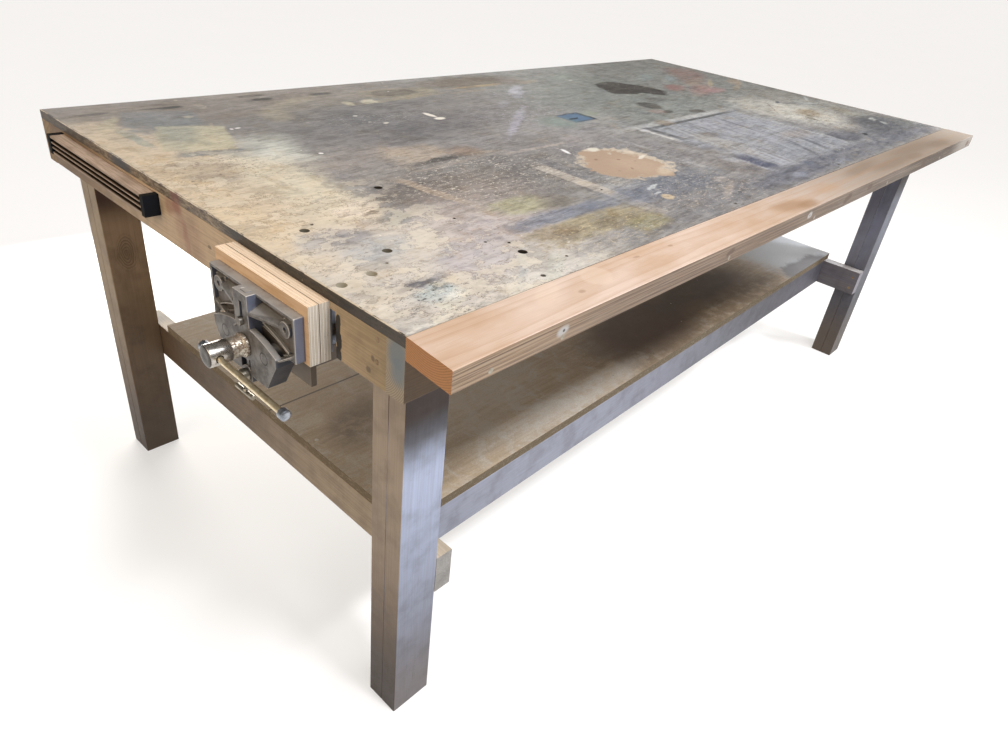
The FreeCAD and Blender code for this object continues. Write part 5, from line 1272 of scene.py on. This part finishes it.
def makeMovingJaw():
    v = jawShape
    mid, axis = screwAxis
    front, face, floorX, back = v["front"], v["face"], v["floor"], v["back"]
    top, low, foot, dog, inner = v["top"], v["low"], v["skirtFoot"], v["dogHalf"], v["floor"] + 1
    shape = bmesh.new()
    addBox(shape, (floorX, mid - v["half"], low), (back, mid + v["half"], top))
    addBox(shape, (face, mid - v["half"], top - v["rim"]), (inner, mid + v["half"], top))
    for side in (-1, 1):
        def at(out):
            return mid + side * out

        def block(x0, out0, z0, x1, out1, z1):
            first, last = sorted((at(out0), at(out1)))
            addBox(shape, (x0, first, z0), (x1, last, z1))

        def hull(*corners):
            addHull(shape, [(x, at(out), z) for x, out, z in corners])

        def ridge(offset, fromOut, toOut, count):
            radius = v["ridgeRadius"] + offset
            return arcPoints((mid, v["ridgeCentre"]), radius, at(fromOut), at(toOut), count)

        block(face, v["half"], low + 3, inner, v["half"] - v["rim"], top)
        # the rim's lower corner, and the web that runs from it to the skirt
        rimFoot = [(at(115), low), (at(115), low + 14), (at(110), low + 14), (at(80), low)]
        addPrism(shape, rimFoot, face, inner)
        hull((front + 1, 86, 787), (front + 1, 86, 783), (front + 10, 86, 787), (front + 10, 86, 783),
             (face, 112, low + 14), (face, 112, low + 10), (floorX, 112, low + 14), (floorX, 112, low + 10))
        # the raised web between the ridge and the rib
        web = ridge(0, 24, 108, 14) + [(at(108), 848), (at(80), 850), (at(76), 832), (at(24), 832)]
        addPrism(shape, web, floorX - 4, inner)
        edge = ridge(v["ridgeWide"], 30, 96, 12) + ridge(-v["ridgeWide"], 30, 96, 12)[::-1]
        addPrism(shape, edge, face + 0.6, inner)
        # screw boss and the rib that ties it to the middle
        boss = (at(v["bossOut"]), v["bossLevel"])
        addTube(shape, boss, v["holeRadius"], v["bossRadius"], face - 1, floorX - 1)
        addLathe(shape, [(floorX - 2.5, v["bossRadius"]), (inner, v["bossRadius"])], boss)
        hull((front + 0.5, 17, 837), (front + 0.5, 17, 832), (floorX, 17, 848), (floorX, 17, 830),
             (face - 1, 82, 839), (face - 1, 82, 834), (floorX, 84, 846), (floorX, 84, 832))
        # housing of the dog
        block(front, dog, axis, back, 8.5, top)
        block(front, dog, axis, front + v["dogFront"], 4.2, top)
        # skirt: its front wall, its back, its sides and the guide rod's boss
        arch = arcPoints((mid, v["archCentre"]), v["archRadius"], at(10), at(87), 14)
        wall = arch + [(at(87), axis), (at(58), foot), (at(13), foot)]
        addPrism(shape, wall + [(at(13), 758), (at(10), 758)], front, front + v["skirtWall"])
        addPrism(shape, wall + [(at(10), foot)], back - 10.5, back)
        skirtSide = [(87, 786), (87, axis), (58, foot), (50, foot), (78, 774), (78, 786)]
        addPrism(shape, [(at(out), z) for out, z in skirtSide], front + 1, back)
        addTube(shape, (at(rodOut), axis), 10, 18, front, back)
    addBox(shape, (front, mid - dog, 849.5), (front + v["dogFront"], mid + dog, top))
    addBox(shape, (front, mid - dog, axis + 12), (front + v["dogFront"], mid + dog, 812.5))
    addBox(shape, (front, mid - dog, axis + 12), (back, mid + dog, 800.5))
    addBox(shape, (front + 19.2, mid - dog, 795), (back, mid + dog, top))
    addTube(shape, screwAxis, 13, 26, front, back)
    # channel below the screw, with the bar in it, and the boss of the release rod
    addBox(shape, (front + 12, mid - 15, foot), (front + 16, mid + 15, 758))
    addBox(shape, (front + 3, mid - 4, axis - 40), (front + 14, mid + 4, 762))
    addTube(shape, releaseAxis, 9.6, 15.5, front + 0.5, back)
    soften(newPiece("movingJawCasting", shape, iron["jawCast"], "moving_jaw"), v["voxel"], v["rounds"])


jawScrews = {"radius": 3.6, "reach": 3, "sunk": 5, "turn": 0.4}


def makeJawScrews():
    # screw heads with a cross recess, facing -X
    v = jawScrews
    radius, reach = v["radius"], v["reach"]
    arm, wide = radius * 0.55, radius * 0.16
    x0 = jawShape["face"] + v["sunk"]
    profile = [(0.01, 0.9), (0.5, 1), (reach, 0.55), (reach + 6, 0.5)]
    shape = bmesh.new()
    for side in (-1, 1):
        y0, z0 = screwAxis[0] + side * jawShape["bossOut"], jawShape["bossLevel"]
        addLathe(shape, [(x0 + along, radius * share) for along, share in profile], (y0, z0), 40)
        for turn in (v["turn"], v["turn"] + math.pi / 2):
            c, s = math.cos(turn), math.sin(turn)
            corners = [(arm, wide), (arm, -wide), (-arm, -wide), (-arm, wide)]
            recess = [(y0 + a * c - b * s, z0 + a * s + b * c) for a, b in corners]
            addPrism(shape, recess, x0 - 0.02, x0 + 0.3)
    newPiece("jawScrewHeads", shape, steel["darkSteel"], "outer_liner_screws", smooth=False)


# (x, radius) of each step; the thrust flange has two x
# the thread has its start, end, root and crest radius, pitch and steps in a turn
leadScrew = {
    "spigot": (-109.5, 7.5),
    "neck": (-95.3, 16.5),
    "thrust": (-75.3, -69.1, 19.5),
    "journal": 12,
    "thread": (-36.5, 286, 8.4, 10.9, 6.35, 30),
    "tail": (300, 7.9),
}


def makeLeadScrew():
    v = leadScrew
    shape = bmesh.new()
    start, end, root, crest, pitch, steps = v["thread"]
    front, back, radius = v["thrust"]
    neckX, neck = v["neck"]
    addLathe(shape, [
        v["spigot"], (neckX, 7.9), (neckX + 0.05, neck - 1), (neckX + 1, neck), (front - 3, neck),
        (front - 1.5, neck + 0.6), (front, neck + 2), (front + 0.2, radius - 1.6),
        (front + 1.4, radius - 0.2), (front + 2.4, radius), (back - 0.8, radius), (back, radius - 1),
        (back + 0.05, v["journal"]), (start - 1, v["journal"]), (start, root),
    ], screwAxis, 72)
    # the thread: a trapezoid ridge wound along the rod
    rows = []
    for i in range(int((end - start) / pitch * steps) + 1):
        turn = 2 * math.pi * i / steps
        row = []
        for along, radius in ((0, root), (0.22, crest), (0.5, crest), (0.72, root)):
            y, z = screwAxis[0] + radius * math.cos(turn), screwAxis[1] + radius * math.sin(turn)
            row.append(shape.verts.new((start + (i / steps + along) * pitch, y, z)))
        rows.append(row)
    for first, second in zip(rows, rows[1:]):
        for k in range(3):
            shape.faces.new((first[k], first[k + 1], second[k + 1], second[k]))
    core = root - 0.1
    addLathe(shape, [(start, core), (end + 6, core), (end + 6, v["tail"][1]), v["tail"]], screwAxis, 48)
    keepCrisp(newPiece("leadScrewTurned", shape, steel["neckSteel"], "lead_screw"), 35)


barTilt = 1.6

hub = {
    "front": -131.3,
    "back": -95.5,
    "radius": 18,
    "hole": 6.4,
}


def makeHub():
    front, back, radius = hub["front"], hub["back"], hub["radius"]
    shape = bmesh.new()
    addLathe(shape, [
        (front + 0.4, 3), (front + 0.1, 7), (front, radius - 3), (front + 0.5, radius - 1.4),
        (front + 1.6, radius - 0.3), (front + 2.6, radius), (back - 1.2, radius), (back - 0.3, radius - 0.5),
        (back, radius - 1.4),
    ], screwAxis, 96)
    piece = newPiece("hubTurned", shape, steel["hubSteel"], "screw_hub")
    # the bar's hole
    low, high = boxOf("tommy_bar")
    cutter = bmesh.new()
    hole = hub["hole"] * millimetre
    bmesh.ops.create_cone(cutter, cap_ends=True, segments=40, radius1=hole, radius2=hole, depth=0.2)
    turn = Matrix.Rotation(math.radians(90 + barTilt), 4, "X")
    at = Matrix.Translation(place((low.x + high.x) / 2, *screwAxis))
    bmesh.ops.transform(cutter, matrix=at @ turn, verts=cutter.verts)
    mesh = bpy.data.meshes.new("hubHole")
    cutter.to_mesh(mesh)
    cutter.free()
    tool = addObject("hubHole", mesh)
    cut = piece.modifiers.new("barHole", "BOOLEAN")
    cut.operation = "DIFFERENCE"
    cut.solver = "EXACT"
    cut.object = tool
    applyModifiers(piece)
    bpy.data.objects.remove(tool)
    keepCrisp(piece, 30)


# profile holds (along, radius) from the end inwards; lift, in radii, is from the box's corner to the middle
knobs = {
    "radius": 8.5,
    "lift": 0.985,
    "profile": ((0.15, 5.4), (0.5, 6.4), (2.2, 8.5), (10.8, 8.5), (12.8, 7.4), (13.9, 6.0)),
}


def makeKnobs():
    # chamfered caps on the ends of the tilted bar
    tilt = math.radians(barTilt)
    axis = Vector((0, math.cos(tilt), math.sin(tilt)))
    up = Vector((0, -math.sin(tilt), math.cos(tilt)))
    low, high = boxOf("tommy_knobs")
    shape = bmesh.new()
    for end, way in ((low, 1), (high, -1)):
        start = Vector(((low.x + high.x) / 2, end.y, end.z)) + up * knobs["radius"] * knobs["lift"] * way
        addRings(shape, [addRing(shape, start + axis * along * way, Vector((1, 0, 0)), up, radius, 40)
                         for along, radius in knobs["profile"]])
    keepCrisp(newPiece("knobsTurned", shape, steel["knobSteel"], "tommy_knobs"), 25)


# path and grip hold (y, z) points; the boss is measured from its front or its back
lever = {
    "bossFront": ((0.2, 3), (0, 6), (0, 9.6), (1.4, 10.8)),
    "bossBack": ((-0.8, 10.9), (0, 10.2)),
    "ring": (1.2, 3.0),
    "path": ((288, 716), (288, 706), (288, 697), (284, 693), (276, 692), (268, 692)),
    "pathRadius": 3.4,
    "grip": ((264.3, 692), (311.7, 692)),
    "gripRadius": 4.0,
}


def makeLever():
    # release lever: a round boss, and an arm that sweeps down to a straight grip
    low, high = boxOf("release_lever")
    shape = bmesh.new()
    profile = [(low.x + x, radius) for x, radius in lever["bossFront"]]
    profile += [(high.x + x, radius) for x, radius in lever["bossBack"]]
    addLathe(shape, profile, releaseAxis, 56)
    addTube(shape, releaseAxis, *lever["ring"], low.x - 0.01, low.x + 0.6, 20)
    for part in ("path", "grip"):
        points = [Vector(((low.x + high.x) / 2, y, z)) for y, z in lever[part]]
        rings = []
        for i, point in enumerate(points):
            ahead = points[min(i + 1, len(points) - 1)] - points[max(i - 1, 0)]
            turn = ahead.to_track_quat("Z", "X")
            side, up = turn @ Vector((1, 0, 0)), turn @ Vector((0, 1, 0))
            rings.append(addRing(shape, point, side, up, lever[part + "Radius"], 20))
        addRings(shape, rings)
    keepCrisp(newPiece("leverForged", shape, steel["screwSteel"], "release_lever"), 35)


makeCamera()
makeLights()
makeStage()
print("camera, light and floor are in place")

dress(makeTopFinish(), "top_panel")
dress(makeBandFinish(), "edge_band_left", "edge_band_right")
dress(makePlankFinish(), "front_plank")
print("top, edging and plank have their finishes")

# front, left, top and other faces of each leg, then the marks of its own; the legs share one paint, and their
# face colours and the differences between legs are partly painted light and shade
legs = {
    "leg_front_left": ("c3cde6", "b3a291", "a89c8e", "9d9489", [shaded("z", 400, 60, "9c8d7e", "-x")]),
    "leg_back_left": ("bda286", "a8957c", "a89c8e", "8d7f70", [
        shaded("z", 430, 50, "b09c84", "-x"),
        shaded("z", 560, 400, "d5d5d2", "-y"),
        knot(81, 586, 32, "54422f"),
    ]),
    # painted shade: the right front leg's left face darkens towards its top
    "leg_front_right": ("6c707b", "6c7080", "a89c8e", "9d9489", [shaded("z", 430, 640, "dddde4", "-x")]),
    "leg_back_right": ("7d6a56", "8a7d6e", "a89c8e", "8d7f70", []),
}
for leg, (*shades, ownMarks) in legs.items():
    # painted shadow of the plank across the top of each leg's front
    marks = [shaded("z", 650, 730, "6a4f3e", "-y")]
    if leg.endswith("left"):
        marks.append(seam(max(boxOf(leg + layer)[0].y for layer in ("_outer", "_inner"))))
    legPaint = makePaintedTimber(leg + "Paint", "z", (20, 300), shades, True, marks + ownMarks, 0.15)
    dress(legPaint, leg + "_outer", leg + "_inner")

# painted shade: the crossbar darkens towards the back and the rail towards the far end, under the table
barMarks = [shaded("y", 300, 900, "8f8274", "-x")]
railMarks = [shaded("x", 500, 1900, "847f7c", "-y", 0.95)]
apronMarks = [
    drip,
    shaded("y", 260, 20, "c6c4b4", "-x", 0.9),
    # painted shade: the apron darkens towards the back, under the top
    shaded("y", 680, 1080, "a5998b", "-x"),
    # painted shade standing in for a ragged hole in the apron beyond the jaw
    spots([
        (145, 852, 6, 17, 4, 0.1), (144, 826, 7, 16, -6, 0.1),
        (146, 803, 8, 12, 8, 0.1), (148, 835, 9, 8, 0, 0.1),
    ], "0b0806", "-x", 6, 0.97, "yz"),
    spots([
        (430, 842, 5, 4, 0, 0.3), (505, 838, 6, 3, 0, 0.3), (75, 812, 6, 5, 0, 0.3), (66, 835, 4, 5, 0, 0.3),
    ], "5b4633", "-x", 4, 0.7, "yz"),
]
frontMarks = [
    endGrain("b5a68f", "7d6f5e", (60, 838), 3.0),
    spots([(16, 866, 18, 22, 0, 0.4), (12, 838, 16, 20, 0, 0.6)], "74828c", "-x", 6, 0.75, "yz"),
]
# material, grain, pith, shades, marks and brushing of each board
paintedBoards = {
    "crossbar_left": (
        "paintedCrossbar", "y", (220, 200), ("b4b1ad", "b3a18b", "c6b8a3", "96897a"), barMarks, 0.35),
    # painted shade: the far crossbar takes darker, cooler colours of the same paint as the near one
    "crossbar_right": (
        "paintedFarBar", "y", (220, 200), ("93919a", "6d6b74", "a3a09e", "96897a"), [], 0.35),
    "shelf_rail_front": (
        "paintedRail", "x", (300, 200), ("a9adbd", "9c9388", "a49b8f", "8f867b"), railMarks, 0.15),
    "left_apron": (
        "creamApron", "y", (120, 700), ("8f7a60", "dabf9e", "d8b894", "94816a"), apronMarks, 0.35),
    "front_apron": (
        "frontApron", "x", (120, 760), ("866e54", "b5a68f", "9d8b74", "8d7a63"), frontMarks, 0.35),
}
for board, (name, along, pith, shades, marks, brushing) in paintedBoards.items():
    dress(makePaintedTimber(name, along, pith, shades, False, marks, brushing), board)
dress(makeRawTimber("rawAlong", "x", (1100, 700), "a18766", "80664a"), "back_apron", "shelf_rail_back")
dress(makeRawTimber("rawAcross", "y", (1000, 660), "9c8263", "7c6244"), "right_apron", "vise_packer",
      "joist_1", "joist_2", "joist_3", "shelf_joist_1", "shelf_joist_2")
dress(makeShelfFinish(), "shelf_panel_front", "shelf_panel_back")
dress(makeTrackFinish(), "slotted_rail")
dress(makeCapFinish(), "rail_cap_front", "rail_cap_back")
print("frame, shelf and slotted rail have their finishes")

# light, dark and rust colours, share of rust, roughness and, where it differs, the colour of the end, which
# is painted shade
steels = {
    "brightSteel": ("c9c7c4", "8f8b86", "6a4a33", 0.1, 0.25),
    "dullSteel": ("8b857d", "57504a", "5c3d28", 0.2, 0.45),
    "hubSteel": ("cfcac3", "9d968d", "5e4535", 0.12, 0.24, "231c16"),
    "neckSteel": ("d6cebf", "958a78", "6c543f", 0.3, 0.35),
    "barSteel": ("f2e3c2", "c9b48f", "6d5436", 0.08, 0.3),
    "screwSteel": ("b9b2a3", "80796c", "5e452f", 0.16, 0.35),
    "darkSteel": ("55504a", "2f2b27", "3a2a20", 0.2, 0.5),
    "knobSteel": ("a9aeb6", "6f747d", "5a4c3e", 0.08, 0.3),
    "paintedScrews": ("a08a6e", "7c6850", "6a4e36", 0.2, 0.6),
}
iron = {name: makeCastFinish(name, worn) for name, worn in (("greyCast", False), ("jawCast", True))}
steel = {name: makeSteelFinish(name, *values) for name, values in steels.items()}
dress(makeBirchFinish(), "inner_liner", "outer_liner")
dress(iron["greyCast"], "vise_body", "moving_jaw", "front_dog", "half_nut")
dress(steel["brightSteel"], "guide_rod_front", "guide_rod_back", "tommy_knobs", "release_rod")
dress(steel["dullSteel"], "tie_plate", "release_lever", "release_spring", "clamp_screw", "screw_collar",
      "hub_pin")
dress(steel["hubSteel"], "screw_hub")
dress(steel["neckSteel"], "lead_screw")
dress(steel["barSteel"], "tommy_bar")
dress(steel["screwSteel"], "inner_liner_screws", "outer_liner_screws", "tie_plate_screws", "vise_bolts",
      "plank_screws", "shelf_screws", "top_screws")
dress(steel["paintedScrews"], "apron_screws", "crossbar_screws")
print("vise has its finishes")

makeMovingJaw()
makeJawScrews()
makeLeadScrew()
makeHub()
makeKnobs()
makeLever()
easeEdges(["vise_body", "front_dog", "tie_plate", "half_nut"], 1.2)
easeEdges(["inner_liner", "outer_liner", "rail_cap_front", "rail_cap_back", "slotted_rail"], 0.7)
easeEdges(["front_plank"], 2.2, 3)
print("vise pieces are made")
